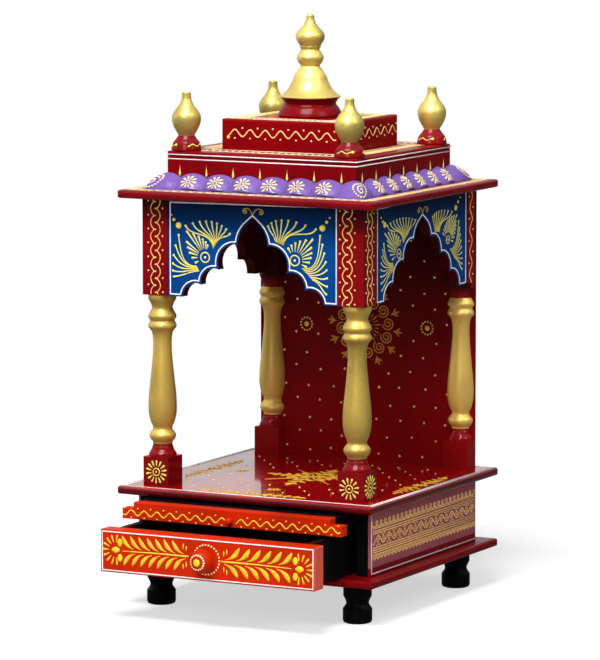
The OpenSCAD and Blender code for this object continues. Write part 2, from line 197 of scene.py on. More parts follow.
def put_mesh(name, points, quads):
    """Puts whole arrays of points (n, 3) in metres and quads (m, 4) into a new mesh object."""
    mesh = bpy.data.meshes.new(name)
    mesh.vertices.add(len(points))
    mesh.vertices.foreach_set("co", np.asarray(points, np.float32).ravel())
    mesh.loops.add(quads.size)
    mesh.loops.foreach_set("vertex_index", np.asarray(quads, np.int32).ravel())
    mesh.polygons.add(len(quads))
    mesh.polygons.foreach_set("loop_start", np.arange(0, quads.size, 4, dtype=np.int32))
    mesh.polygons.foreach_set("use_smooth", np.full(len(quads), True))
    mesh.update(calc_edges=True)
    piece = bpy.data.objects.new(name, mesh)
    scene.collection.objects.link(piece)
    return piece


ground = put_mesh("ground", *ground_sheet())
ground_finish = bpy.data.materials.new("ground_finish")
ground_finish.use_nodes = True
ground_tree = ground_finish.node_tree
ground_tree.nodes.clear()
GROUND_GREY, GROUND_GLOW, GROUND_DIM = 0.55, 0.6, 0.12
FADE_START, FADE_END = 0.5, 1.3


def ground_node(kind, inputs=(), output=0, **settings):
    """A node of the ground's finish, given as the output that the next one takes."""
    return add_node(ground_tree, kind, inputs, **settings).outputs[output]


ground_rays = add_node(ground_tree, "ShaderNodeLightPath").outputs
ground_seen = ground_rays["Is Camera Ray"]
glow_level = ground_node("ShaderNodeMapRange", {"Value": ground_seen, "To Max": GROUND_GLOW})
glow = ground_node("ShaderNodeEmission", {"Strength": glow_level})
matt = ground_node("ShaderNodeBsdfDiffuse", {"Color": (GROUND_GREY, GROUND_GREY, GROUND_GREY, 1)})
near = ground_node("ShaderNodeAddShader", {0: matt, 1: glow})
from_middle = ground_node("ShaderNodeVectorMath", {0: ground_node("ShaderNodeTexCoord", output="Object")},
                          "Value", operation="LENGTH")
fade = ground_node("ShaderNodeMapRange", {"Value": from_middle, "From Min": FADE_START, "From Max": FADE_END},
                   interpolation_type="SMOOTHSTEP")
faded = ground_node("ShaderNodeMath", {0: fade, 1: ground_seen}, operation="MULTIPLY")
shown = ground_node("ShaderNodeMixShader", {0: faded, 1: near, 2: ground_node("ShaderNodeEmission")})
dim = ground_node("ShaderNodeEmission", {"Strength": GROUND_DIM})
whole = ground_node("ShaderNodeMixShader", {0: ground_rays["Is Glossy Ray"], 1: shown, 2: dim})
add_node(ground_tree, "ShaderNodeOutputMaterial", {"Surface": whole})
ground.data.materials.append(ground_finish)
print("ground of", len(ground.data.polygons), "quads")

# %% [markdown]
# ## Finishes
# Every board is primed, painted with a brush and varnished. So each finish is one paint recipe: a colour
# that drifts a little from place to place, faint brush streaks, tiny lumps under the varnish, and eased
# edges. All patterns read Object coordinates, in metres, so the same grain size holds on every piece. Some
# finishes also carry painted shade: black mixed into the colour towards the roof.


# %% Paint recipe
def srgb(red, green, blue):
    """A colour written as on a screen, 0 to 255, turned into the linear values that shaders take."""
    c = np.array([red, green, blue]) / 255.0
    linear = np.where(c <= 0.04045, c / 12.92, ((c + 0.055) / 1.055) ** 2.4)
    return (*[float(v) for v in linear], 1.0)


class Recipe:
    """A material's node tree with short calls for the nodes that the finishes share."""

    def __init__(self, name):
        self.material = bpy.data.materials.new(name)
        self.material.use_nodes = True
        self.tree = self.material.node_tree
        self.shader = self.tree.nodes["Principled BSDF"]
        self.coords = self.node("ShaderNodeTexCoord").outputs["Object"]

    def node(self, kind, inputs=(), **settings):
        return add_node(self.tree, kind, inputs, **settings)

    def shade(self, inputs):
        """Sets or links inputs of the paint's own shader."""
        fill(self.tree, self.shader, inputs)

    def stretched(self, scale):
        """Object coordinates multiplied along each axis, for streaks."""
        return self.node("ShaderNodeMapping", {"Vector": self.coords, "Scale": scale}).outputs["Vector"]

    def noise(self, scale, detail=3.0, vector=None):
        inputs = {"Scale": scale, "Detail": detail, "Vector": vector or self.coords}
        return self.node("ShaderNodeTexNoise", inputs).outputs["Fac"]

    def spread(self, value, low, high, start=0.3, end=0.7):
        """A value between start and end, spread to run from low to high."""
        inputs = {"Value": value, "From Min": start, "From Max": end, "To Min": low, "To Max": high}
        return self.node("ShaderNodeMapRange", inputs).outputs["Result"]

    def mix(self, share, first, second):
        """Two colours mixed by a share; each colour is a tuple or a socket."""
        return self.node("ShaderNodeMix", {0: share, 6: first, 7: second}, data_type="RGBA").outputs[2]

    def math(self, operation, first, second):
        return self.node("ShaderNodeMath", {0: first, 1: second}, operation=operation).outputs[0]

    def bump(self, strength, depth, height, more=()):
        """Makes the shader's normal uneven by a height."""
        inputs = {"Strength": strength, "Distance": depth, "Height": height, **dict(more)}
        self.shade({"Normal": self.node("ShaderNodeBump", inputs).outputs["Normal"]})

    def axis(self, name):
        """One Object coordinate, in metres."""
        return self.node("ShaderNodeSeparateXYZ", {0: self.coords}).outputs[name]

    def between(self, name, low, high):
        """One where a coordinate lies between two places in millimetres, and zero elsewhere."""
        above = self.math("GREATER_THAN", self.axis(name), low * MM)
        below = self.math("LESS_THAN", self.axis(name), high * MM)
        return self.math("MULTIPLY", above, below)


PATCH_GRAIN, STREAK_GRAIN, LUMP_GRAIN, SHEEN_GRAIN = 14.0, 30.0, 160.0, 45.0
EDGE_RADIUS, LUMP_HEIGHT, LUMP_STRENGTH = 0.0008, 0.0006, 0.08
UNEVEN = 0.08


def shaded(recipe, colour, drift=0.16, streak=(6, 6, 60)):
    """A paint's colour: its own tone, darker in broad patches and along faint brush streaks."""
    deep = tuple(v * (1 - 2.2 * drift) for v in colour[:3]) + (1.0,)
    light = tuple(min(1.0, v * (1 + drift) + 0.01 * drift) for v in colour[:3]) + (1.0,)
    patches = recipe.mix(recipe.spread(recipe.noise(PATCH_GRAIN), 0.0, 1.0), deep, colour)
    streaks = recipe.noise(STREAK_GRAIN, 4.0, recipe.stretched(streak))
    return recipe.mix(recipe.spread(streaks, 0.0, 0.55, 0.45, 0.8), patches, light)


def eased(recipe):
    """Soft edges and the small lumps of brushed paint, as a normal for the shader."""
    edge = recipe.node("ShaderNodeBevel", {"Radius": EDGE_RADIUS}, samples=4)
    lumps = recipe.noise(LUMP_GRAIN, 4.0)
    recipe.bump(LUMP_STRENGTH, LUMP_HEIGHT, lumps, {"Normal": edge.outputs["Normal"]})


def gloss(recipe, rough, coat, coat_rough=0.12, shine=0.06):
    """Roughness that varies a little, and a clear varnish coat over the paint."""
    varied = recipe.spread(recipe.noise(SHEEN_GRAIN), rough - UNEVEN / 2, rough + UNEVEN)
    recipe.shade({"Roughness": varied, "Specular IOR Level": shine, "Coat Weight": coat,
                  "Coat Roughness": coat_rough})


def painted_shade_below_roof(recipe, colour, start, end, most, inside=None):
    """Painted shade: black mixed into a colour, growing between two depths under the roof, in millimetres, to
    the share most. With inside, an axis and two places on it, it stays between them."""
    share = recipe.spread(recipe.axis("Z"), 0.0, most, (ROOF_UNDER - start) * MM, (ROOF_UNDER - end) * MM)
    if inside:
        share = recipe.math("MULTIPLY", share, recipe.between(*inside))
    return recipe.mix(share, colour, (0.0, 0.0, 0.0, 1.0))


def varnished(recipe, tone, painted_shade, *sheen):
    """A material from a paint's tone: painted shade if one is given, the sheen that gloss takes, eased edges.
    """
    if painted_shade:
        tone = painted_shade_below_roof(recipe, tone, *painted_shade)
    recipe.shade({"Base Color": tone})
    gloss(recipe, *sheen)
    eased(recipe)
    return recipe.material


def paint_finish(name, colour, rough=0.36, coat=0.35, coat_rough=0.12, streak=(6, 6, 60), shine=0.06,
                 painted_shade=None):
    """A brushed and varnished paint of one colour."""
    recipe = Recipe(name)
    return varnished(recipe, shaded(recipe, colour, streak=streak), painted_shade, rough, coat, coat_rough, shine)


MAROON = srgb(130, 4, 12)
GOLD = srgb(214, 181, 89)
BLUE = srgb(4, 66, 134)
LILAC = srgb(120, 92, 170)
VERMILION = srgb(203, 39, 1)
BLACK = srgb(9, 9, 13)
# SHADED_MAROON is the maroon of the arch panels' backs, darkened as painted shade for the dim inside.
SHADED_MAROON = srgb(64, 2, 5)
maroon_lacquer = paint_finish("maroon_lacquer", MAROON, rough=0.3, coat=0.1)
board_lacquer = paint_finish("board_lacquer", srgb(124, 4, 17), rough=0.28, coat=0.35)
base_lacquer = paint_finish("base_lacquer", srgb(120, 3, 11), rough=0.3, coat=0.12)
# Painted shade: the back panel's inner face darkens towards the roof, from 290 mm under it to nearly black in
# the last 30 mm.
inner_face = node_box("back_panel")[1][1] + CABINET_Y - 1.0
back_lacquer = paint_finish("back_lacquer", srgb(150, 3, 8), coat=0.04,
                            painted_shade=(290.0, 30.0, 0.96, ("Y", 0.0, inner_face)))
vermilion_paint = paint_finish("vermilion_paint", VERMILION, rough=0.42, coat=0.06)
lilac_paint = paint_finish("lilac_paint", LILAC, rough=0.4, coat=0.1, streak=(20, 20, 20))
lilac_gloss = paint_finish("lilac_gloss", LILAC, rough=0.2, coat=1.0, coat_rough=0.05,
                           streak=(20, 20, 20), shine=0.5)
box_lacquer = paint_finish("box_lacquer", srgb(144, 3, 11), rough=0.3, coat=0.1)
black_paint = paint_finish("black_paint", BLACK, rough=0.4, coat=0.03)
print("plain finishes made")

# %% [markdown]
# ## Two-coloured pieces
# A pillar is turned from one square length, but painted in two colours: maroon blocks, gold shaft. A
# finial has a maroon foot, an arch panel is blue on its face and maroon behind, and a plinth side is
# black inside. One material per kind of piece does this, with the border given as a height or a depth.
# Some borders carry painted light: the maroon behind the arches is darkened as painted shade, the plinth's
# outer faces take a mauve painted reflection, the floor board's edges are painted darker than its top as
# painted shade, and the drawer front's ends carry a painted highlight.


# %% Two-coloured finishes
def two_tone(name, first, second, where, metal=0.0, rough=0.36, coat=0.06, coat_rough=0.12, painted_shade=None,
             skirt=None, depth=0.12, streak=(40, 40, 5)):
    """The second paint where an axis lies between two places, in millimetres, and the first elsewhere.
    Metal is the second paint's metallic share, as in gold powder paint, and depth and streak are its
    brush marks. A skirt is a third colour under a height."""
    recipe = Recipe(name)
    mask = recipe.between(*where)
    tone = shaded(recipe, second, depth, streak)
    if skirt:
        tone = recipe.mix(recipe.between("Z", 0.0, skirt[1]), tone, skirt[0])
    if metal:
        recipe.shade({"Metallic": recipe.math("MULTIPLY", mask, metal)})
    both = recipe.mix(mask, shaded(recipe, first), tone)
    return varnished(recipe, both, painted_shade, rough, coat, coat_rough)


FAR = 1000.0
HALF_SKIN, ARCH_SKIN, PLINTH_SKIN, FLOOR_SKIN, DRAWER_SKIN = 1.2, 0.8, 2.5, 1.4, 0.9
NECK_HEIGHT, SKIRT_HEIGHT, HALF_COLLAR = 15.8, 9.0, 16.5
BLOCK_HEIGHT, FOOT_TURNING = 30.0, 13.3
GOLD_FOOT = node_box("pillar_front_left")[0][2] + BLOCK_HEIGHT + FOOT_TURNING
GOLD_COAT = dict(rough=0.42, coat=0.25, coat_rough=0.08)
# Painted shadow: the pillar heads darken over the 30 mm under the roof, where its overhang shades them.
gold_and_maroon = two_tone("pillar_paint", MAROON, GOLD, ("Z", GOLD_FOOT, HEAD_FOOT), metal=0.5,
                           painted_shade=(30.0, 6.0, 0.78), depth=0.18, **GOLD_COAT)
# Painted shade inside the cabinet: the half pillars' inner faces darken from just under the head blocks and
# are nearly black up to the roof.
half_face = node_box("pillar_back_right")[1][0] - HALF_SKIN
HALF_PILLAR_SHADE = (HEAD_HEIGHT + 17, HEAD_HEIGHT + 5, 0.86, ("X", -half_face, half_face))
# Painted light: the half pillars' maroon and gold are lighter than the front pillars' MAROON and GOLD, to
# make up for the dimmer light inside.
back_gold_and_maroon = two_tone("half_pillar_paint", srgb(146, 4, 12), srgb(252, 214, 112),
                                ("Z", GOLD_FOOT, HEAD_FOOT - HALF_COLLAR), metal=0.5, painted_shade=HALF_PILLAR_SHADE,
                                **GOLD_COAT)
BRIGHT_GOLD = srgb(250, 220, 120)
FINIAL_NECK = node_box("finial_front_left")[0][2] + NECK_HEIGHT
NECK_DEPTH = ROOF_UNDER - FINIAL_NECK
LATHE = dict(metal=0.6, depth=0.3, streak=(9, 9, 110), **GOLD_COAT)
# Painted shade: the finials' gold darkens over its lowest 18 mm, most at the neck, under the bulbs.
finial_gold = two_tone("finial_paint", MAROON, BRIGHT_GOLD, ("Z", FINIAL_NECK, FAR),
                       painted_shade=(NECK_DEPTH - 18, NECK_DEPTH, 0.2, ("Z", FINIAL_NECK, FAR)), **LATHE)
crown_gold = two_tone("crown_paint", BRIGHT_GOLD, BRIGHT_GOLD, ("Z", 0.0, FAR), **LATHE)
# Painted shadow of the roof's overhang: the arches darken over the 45 mm under the roof.
ARCH_ROOF_SHADE = (45.0, 4.0, 0.78)
arch_face = arch_low[1] + ARCH_SKIN + CABINET_Y
side_face = node_box("arch_right")[1][0] - ARCH_SKIN
front_blue = two_tone("front_arch_paint", SHADED_MAROON, BLUE, ("Y", -FAR, arch_face), painted_shade=ARCH_ROOF_SHADE)
right_blue = two_tone("right_arch_paint", SHADED_MAROON, BLUE, ("X", side_face, FAR), painted_shade=ARCH_ROOF_SHADE)
left_blue = two_tone("left_arch_paint", SHADED_MAROON, BLUE, ("X", -FAR, -side_face), painted_shade=ARCH_ROOF_SHADE)
plinth_low, plinth_high = node_box("plinth_right")
plinth_face = plinth_high[0] - PLINTH_SKIN
# Painted reflection: the plinth sides' outer faces are mauve for the sheen of their glossy maroon seen at a
# slant; the strip under SKIRT_HEIGHT is maroon.
SHEEN_MAUVE = srgb(164, 86, 98)
SKIRT = (srgb(122, 6, 22), plinth_low[2] + SKIRT_HEIGHT)
right_plinth = two_tone("right_plinth_paint", BLACK, SHEEN_MAUVE, ("X", plinth_face, FAR), skirt=SKIRT)
left_plinth = two_tone("left_plinth_paint", BLACK, SHEEN_MAUVE, ("X", -FAR, -plinth_face), skirt=SKIRT)
# Painted shade: the floor board's edges take a darker maroon than its top.
floor_paint = two_tone("floor_paint", srgb(98, 2, 11), srgb(162, 6, 14), ("Z", FLOOR_TOP - FLOOR_SKIN, FAR),
                       rough=0.2, coat=1.0, coat_rough=0.06)
# Painted highlight: the drawer front's two end faces take a light pinkish red.
drawer_end = node_box("drawer_front")[1][0] - DRAWER_SKIN
drawer_paint = two_tone("drawer_paint", srgb(238, 100, 76), VERMILION, ("X", -drawer_end, drawer_end),
                        rough=0.42)
print("two-coloured finishes made")

# %% Finishes on the solids
CORNERS = ("front_left", "front_right", "back_left", "back_right")
finish_of = {
    floor_paint: ["floor_board"],
    maroon_lacquer: ["plinth_back", "upper_tier", "tier_lid", "crown_base"],
    box_lacquer: ["top_box"],
    board_lacquer: ["roof_board"],
    base_lacquer: ["base_board"],
    back_lacquer: ["back_panel"],
    vermilion_paint: ["drawer_knob", "tray_front", "tray_knob"],
    drawer_paint: ["drawer_front"],
    lilac_paint: [f"cornice_{side}" for side in ("front", "right", "back", "left")],
    black_paint: [*(f"foot_{corner}" for corner in CORNERS), "tray_runner_left", "tray_runner_right",
                  "drawer_left", "drawer_right", "drawer_back", "drawer_bottom", "tray_board"],
    gold_and_maroon: ["pillar_front_left", "pillar_front_right"],
    back_gold_and_maroon: ["pillar_back_left", "pillar_back_right"],
    finial_gold: [f"finial_{corner}" for corner in CORNERS],
    crown_gold: ["crown"],
    front_blue: ["arch_front"], right_blue: ["arch_right"], left_blue: ["arch_left"],
    right_plinth: ["plinth_right"], left_plinth: ["plinth_left"],
}
for finish, names in finish_of.items():
    for name in names:
        nodes[name].data.materials.clear()
        nodes[name].data.materials.append(finish)
print(sum(len(n) for n in finish_of.values()), "of", len(nodes), "solids have their finish")

# %% [markdown]
# ## Piped ornament
# Shrines of this kind are decorated freehand with thick paint pressed from a small cone, so every line
# stands a little proud and every dot is a small dome. That could be a flat pattern in a material, but
# real raised paint catches the light and stays sharp close up. So a stroke is worked out as a mesh: a
# ring of six points, as wide as the stroke, is carried along a path. Paths are drawn in a face's own
# millimetres, u across and v up, and the face says where that is in space.

# %% Faces to paint on
FRONT, RIGHT, BACK, LEFT = range(4)
BOTH_SIDES = (("right", RIGHT, 1), ("left", LEFT, -1))


def uv(u, v):
    """Points (..., 2) from their u and v, each an array or one number for all."""
    return np.stack(np.broadcast_arrays(u, v), -1)


def towards(turn):
    """Steps of length one in the directions of the angles turn: their cosine and sine."""
    return uv(np.cos(turn), np.sin(turn))


def to_left(step):
    """Steps turned to the left by a quarter turn: u, v becomes -v, u."""
    return uv(-step[..., 1], step[..., 0])


def flat(side, distance):
    """An upright face at a distance from the cabinet's middle: u runs to the right as one looks at it, v
    is the height above the ground and h stands off the face. The front one is turned by quarter turns."""
    def place(p):
        return quarter_turned(np.stack([p[..., 0], -distance - p[..., 2], p[..., 1]], -1), side)
    return place


def ledge(side, height):
    """A level face that looks up, turned so that the given side's edge is its front one: u runs to the
    right and v away from that edge, both from the cabinet's middle."""
    return lambda p: quarter_turned(p + np.array([0, 0, height]), side)


def upended(face):
    """A face turned by a quarter: u runs up it and v to the left."""
    return lambda p: face(np.stack([-p[..., 1], p[..., 0], p[..., 2]], -1))


def quarter_turned(points, turns):
    """Points turned about the cabinet's upright middle line by quarter turns: x, y becomes -y, x."""
    for _ in range(turns):
        points = np.stack([-points[..., 1], points[..., 0], points[..., 2]], -1)
    return points


print("faces: upright on four sides, level ones")


# %% The paint cone
class PaintCone:
    """Thick paint on one face. It gathers strokes and dots, which set_down makes into a raised mesh. A
    tint of 0 is white, and it goes over cream, yellow and amber to dull gold at 1."""

    ring = np.array([(-1, 0), (-0.62, 0.72), (0, 1), (0.62, 0.72), (1, 0), (0, -0.35)])
    dome = np.array([(1.0, -0.25), (0.86, 0.62), (0.45, 1.0)])

    def __init__(self, face):
        self.face = face
        self.points, self.quads, self.tints, self.total = [], [], [], 0

    def keep(self, points, quads, tints):
        self.points.append(self.face(points.reshape(-1, 3)))
        self.tints.append(np.ravel(tints))
        self.quads.extend(np.reshape(q, (-1, 4)) + self.total for q in quads)
        self.total += len(self.points[-1])

    def stroke(self, paths, width, tint, height=0.45, closed=False):
        """Paths (strokes, steps, 2). Across each step lies a ring: its points are the width times the
        ring's first number to the side, and the height times its second number up. Where a path turns,
        the ring is made wider by the turn, as in a mitre."""
        paths = np.asarray(paths, float)
        paths = paths[None] if paths.ndim == 2 else paths
        count, steps = paths.shape[:2]
        move = np.roll(paths, -1, 1) - paths
        move /= np.maximum(np.linalg.norm(move, axis=-1, keepdims=True), 1e-9)
        before, after = np.roll(move, 1, 1), move.copy()
        if not closed:
            before[:, 0], after[:, -1] = move[:, 0], move[:, -2]
        along = (before + after) / 2
        straight = np.linalg.norm(along, axis=-1, keepdims=True)
        across = to_left(along) / np.maximum(straight, 1e-9)
        half = np.broadcast_to(np.asarray(width, float) / 2, (count, steps))[..., None]
        sideways = (half / np.clip(straight, 0.6, 1))[..., None] * self.ring[:, :1] * across[:, :, None]
        lift = np.minimum(height, 0.9 * half)[..., None] * self.ring[:, 1:]
        points = np.concatenate([paths[:, :, None] + sideways, lift], -1)
        index = np.arange(count * steps * 6).reshape(count, steps, 6)
        ahead = np.roll(index, -1, 1)
        sides = np.stack([index, ahead, np.roll(ahead, -1, 2), np.roll(index, -1, 2)], -1)
        if closed:
            quads = [sides]
        else:
            first, last = index[:, 0], index[:, -1]
            quads = [sides[:, :-1], first[:, [0, 1, 2, 5]], first[:, [2, 3, 4, 5]],
                     last[:, [5, 2, 1, 0]], last[:, [5, 4, 3, 2]]]
        tints = np.broadcast_to(np.asarray(tint, float), (count, steps))
        self.keep(points, quads, np.repeat(tints[..., None], 6, -1))

    def dots(self, centres, radius, tint, height=0.7):
        """Small domes: three rings of eight points, closed above and below by three quads each."""
        centres = np.reshape(np.asarray(centres, float), (-1, 2))
        count = len(centres)
        radius = np.broadcast_to(np.asarray(radius, float), count)[:, None, None, None]
        circle = towards(np.arange(8) * math.tau / 8)
        spread = centres[:, None, None] + radius * self.dome[:, None, :1] * circle
        lift = np.minimum(height, 0.7 * radius) * self.dome[:, None, 1:]
        points = np.concatenate([spread, np.broadcast_to(lift, (count, 3, 8, 1))], -1)
        index = np.arange(count * 24).reshape(count, 3, 8)
        ahead = np.roll(index, -1, 2)
        sides = np.stack([index[:, :-1], ahead[:, :-1], ahead[:, 1:], index[:, 1:]], -1)
        top, foot = index[:, 2], index[:, 0][:, ::-1]
        caps = [ring[:, pick] for ring in (top, foot) for pick in ([0, 1, 2, 3], [0, 3, 4, 7], [4, 5, 6, 7])]
        self.keep(points, [sides, *caps], np.full(count * 24, tint))


def set_down(cones, name, body="cabinet", finish=None):
    """One piece, in metres in the frame, from the paint of several cones. The tints are kept as an
    attribute of its points. It is piped paint unless another finish is named."""
    starts = np.cumsum([0] + [cone.total for cone in cones])
    points = np.concatenate([p for cone in cones for p in cone.points])
    quads = np.concatenate([q + s for cone, s in zip(cones, starts) for q in cone.quads])
    piece = put_mesh(name, (points + (0, CABINET_Y, 0)) * MM, quads)
    tints = np.concatenate([t for cone in cones for t in cone.tints])
    kept = piece.data.attributes.new("tint", "FLOAT", "POINT")
    kept.data.foreach_set("value", tints.astype(np.float32))
    piece.data.materials.append(finish or piped_paint)
    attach(piece, body)
    print(name, len(quads), "quads")


# %% Piped paint
WHITE, CREAM, PALE, PEACH, LEMON, YELLOW, AMBER, DULL = 0.0, 0.15, 0.25, 0.35, 0.45, 0.6, 0.8, 1.0
BUTTER, STRAW, CORN, HONEY, GOLDEN = 0.2, 0.3, 0.5, 0.58, 0.74
COLOUR_OF = {
    WHITE: srgb(250, 249, 247), CREAM: srgb(254, 243, 206), PALE: srgb(252, 226, 150),
    PEACH: srgb(253, 205, 124), LEMON: srgb(236, 238, 130), YELLOW: srgb(252, 218, 44),
    AMBER: srgb(214, 152, 62), DULL: srgb(150, 100, 44)}
DAB_GRAIN, CRUST_GRAIN = 220.0, 900.0
CRUST_STRENGTH, CRUST_HEIGHT = 0.15, 0.0003


def piped_finish():
    """A matt poster paint. Its colour follows the tint of each stroke, a little uneven from dab to dab."""
    recipe = Recipe("piped_paint")
    tint = recipe.node("ShaderNodeAttribute", attribute_name="tint").outputs["Fac"]
    ramp = recipe.node("ShaderNodeValToRGB", {0: tint})
    stops = ramp.color_ramp.elements
    stops[0].color, stops[1].color = COLOUR_OF[WHITE], COLOUR_OF[DULL]
    for place in (CREAM, PALE, PEACH, LEMON, YELLOW, AMBER):
        stops.new(place).color = COLOUR_OF[place]
    dabs = recipe.spread(recipe.noise(DAB_GRAIN), 0.82, 1.04)
    tone = recipe.node("ShaderNodeHueSaturation", {"Color": ramp.outputs["Color"], "Value": dabs})
    recipe.shade({"Base Color": tone.outputs["Color"]})
    gloss(recipe, 0.5, 0.04)
    recipe.bump(CRUST_STRENGTH, CRUST_HEIGHT, recipe.noise(CRUST_GRAIN))
    return recipe.material


piped_paint = piped_finish()
print("piped paint has eight tints")

# %% [markdown]
# ## The painter's vocabulary
# A few moves of the hand give the whole decoration: a bent stroke, a petal that swells towards its end,
# a leaf that is thin at both ends, a wave with dots, a ring of petals, a curl. Each is a short formula.


# %% Moves of the hand
def bend(start, middle, end, steps=8):
    """Points (strokes, steps, 2) on curves that leave start towards middle and come to end: the three
    points weighed by (1-t)^2, 2t(1-t) and t^2."""
    start, middle, end = (np.atleast_2d(np.asarray(p, float))[:, None] for p in (start, middle, end))
    t = np.linspace(0, 1, steps)[None, :, None]
    return (1 - t) ** 2 * start + 2 * t * (1 - t) * middle + t ** 2 * end


def through(start, middle, end, count):
    """Evenly spread points on a curve that passes through the middle point."""
    start, middle, end = (np.asarray(p, float) for p in (start, middle, end))
    return bend(start, 2 * middle - (start + end) / 2, end, count)[0]


def swell(steps=8, tail=0.25, stop=0.8):
    """Width of a petal along its length: it grows evenly from its tail and closes round at the end."""
    t = np.linspace(0, 1, steps)
    return (tail + (1 - tail) * t) * np.sqrt(1 - 0.88 * np.clip((t - stop) / (1 - stop), 0, 1) ** 2)


def leaf_width(steps=8):
    """Width of a leaf: a sine hump, fullest past the middle, with a fine tail."""
    t = np.linspace(0, 1, steps)
    return np.clip(np.sin(math.pi * t ** 1.4) ** 0.8, 0.14, 1)


def round_path(centre, radius, steps=20):
    """Points on a circle or, with two radii, on an oval."""
    circle = towards(np.arange(steps) * math.tau / steps)
    return np.asarray(centre, float) + np.asarray(radius, float) * circle


def radial(centre, inner, outer, turns, steps=6):
    """Straight strokes from an inner to an outer radius, in the directions of turns."""
    away = towards(turns)[:, None]
    reach = np.linspace(inner, outer, steps)[None, :, None]
    return np.asarray(centre, float) + away * reach


def rosette(cone, centre, inner, outer, count, width, tint, ring=0.0, start=0.2):
    """A ring of petals round a small ring with a dot."""
    turns = start + np.arange(count) * math.tau / count
    cone.stroke(radial(centre, inner, outer, turns), width * swell(6), tint)
    if ring:
        cone.stroke(round_path(centre, ring), 1.15, tint, closed=True)
        cone.dots(centre, 1.15, tint)


def wave(cone, start, end, middle, rise, period, crest, width, tint, dot_gap=5.0, dot=1.0, dot_tint=CREAM):
    """A cosine wave from start to end with a crest at crest, and a dot in each bay above and below."""
    u = np.linspace(start, end, int(abs(end - start) / period * 18) + 2)
    v = middle + rise * np.cos((u - crest) / period * math.tau)
    cone.stroke(uv(u, v), width, tint)
    bays = crest + period / 2 * np.arange(math.ceil((start - crest) / period * 2), (end - crest) / period * 2)
    below = np.cos((bays - crest) / period * math.tau)
    cone.dots(uv(bays, middle - dot_gap * below), dot, dot_tint)


def curl(centre, radius, turns=1.6, start=0.0, hand=1, steps=16):
    """A spiral: the radius shrinks evenly while the angle grows."""
    t = np.linspace(0, 1, steps)
    turn = start + hand * t * turns * math.tau
    reach = radius * (1 - 0.85 * t)
    return np.asarray(centre, float) + towards(turn) * reach[:, None]


def line_frame(cone, half_u, half_v, width=1.2, tint=WHITE, middle=(0, 0)):
    """A rectangle of one line."""
    corners = np.array([(-1, -1), (1, -1), (1, 1), (-1, 1)]) * (half_u, half_v) + middle
    cone.stroke(corners, width, tint, closed=True)


print("moves: bend, swell, leaf, circle, rosette, wave, curl, frame")

# %% [markdown]
# ## Arch panels
# A white line follows the cusps a few millimetres in from the cut edge. Each panel half carries the same
# family of strokes: an upper fan, a feather with an eye, a lower fan and a string of beads. The line is
# found from the arcs of the opening, each made larger by the inset and cut where it meets the next.

# %% Line along the cusps
CUSP_RISE = np.array([0.012, 0.1, 0.29, 0.29, 0.27])
FRONT_CUSPS = np.array([(0, 0.838), (0.083, 0.77), (0.177, 0.566), (0.398, 0.3), (0.61, 0.135), (0.83, 0)])
SIDE_CUSPS = np.array([(0, 0.799), (0.098, 0.734), (0.182, 0.576), (0.394, 0.378), (0.614, 0.171),
                       (0.815, 0)])


def cusp_line(cusps, length, height, inset=2.5, foot=2.2, edge=2.4, head=0.9, droop=2.6, steps=9):
    """Outline of a panel, inset. An arc over a chord with a given rise has the radius (chord^2/4 +
    rise^2) / (2 rise). Two larger circles meet at a distance (R1^2 - R2^2 + d^2) / 2d along the line of
    their centres. Points run from the tip down the right side, round the panel's corners and back up;
    the top left corner droops a little, as it was painted."""
    tips = cusps * (length / 2, height)
    chord = np.diff(tips, axis=0)
    span = np.linalg.norm(chord, axis=1)
    rise = CUSP_RISE * span
    radius = (span ** 2 / 4 + rise ** 2) / (2 * rise)
    left = to_left(chord) / span[:, None]
    centre = (tips[:-1] + tips[1:]) / 2 + left * (rise - radius)[:, None]
    grown = radius + inset
    link = centre[1:] - centre[:-1]
    apart = np.linalg.norm(link, axis=1)
    share = (grown[:-1] ** 2 - grown[1:] ** 2 + apart ** 2) / (2 * apart)
    off = np.sqrt(np.maximum(grown[:-1] ** 2 - share ** 2, 0))
    unit = link / apart[:, None]
    square = to_left(unit)
    both = centre[:-1] + unit * share[:, None] + np.array([1, -1])[:, None, None] * square * off[:, None]
    near = np.argmin(np.linalg.norm(both - tips[1:-1], axis=-1), axis=0)
    meets = both[near, np.arange(len(near))]
    top = (0, centre[0, 1] + math.sqrt(grown[0] ** 2 - centre[0, 0] ** 2))
    toe = (centre[-1, 0] + math.sqrt(grown[-1] ** 2 - (foot - centre[-1, 1]) ** 2), foot)
    corners = np.vstack([top, meets, toe])
    begin, end = corners[:-1] - centre, corners[1:] - centre
    first = np.arctan2(begin[:, 1], begin[:, 0])
    sweep = (first - np.arctan2(end[:, 1], end[:, 0])) % math.tau
    turn = first[:, None] - sweep[:, None] * np.arange(steps) / steps
    arcs = centre[:, None] + grown[:, None, None] * towards(turn)
    side = length / 2 - edge
    right = np.vstack([arcs.reshape(-1, 2), toe, (side, foot), (side, height - head)])
    mirrored = (right * (-1, 1))[:0:-1]
    mirrored[0, 1] -= droop
    return np.vstack([right, mirrored])


print("cusp line of", len(cusp_line(FRONT_CUSPS, 200, 102)), "points")


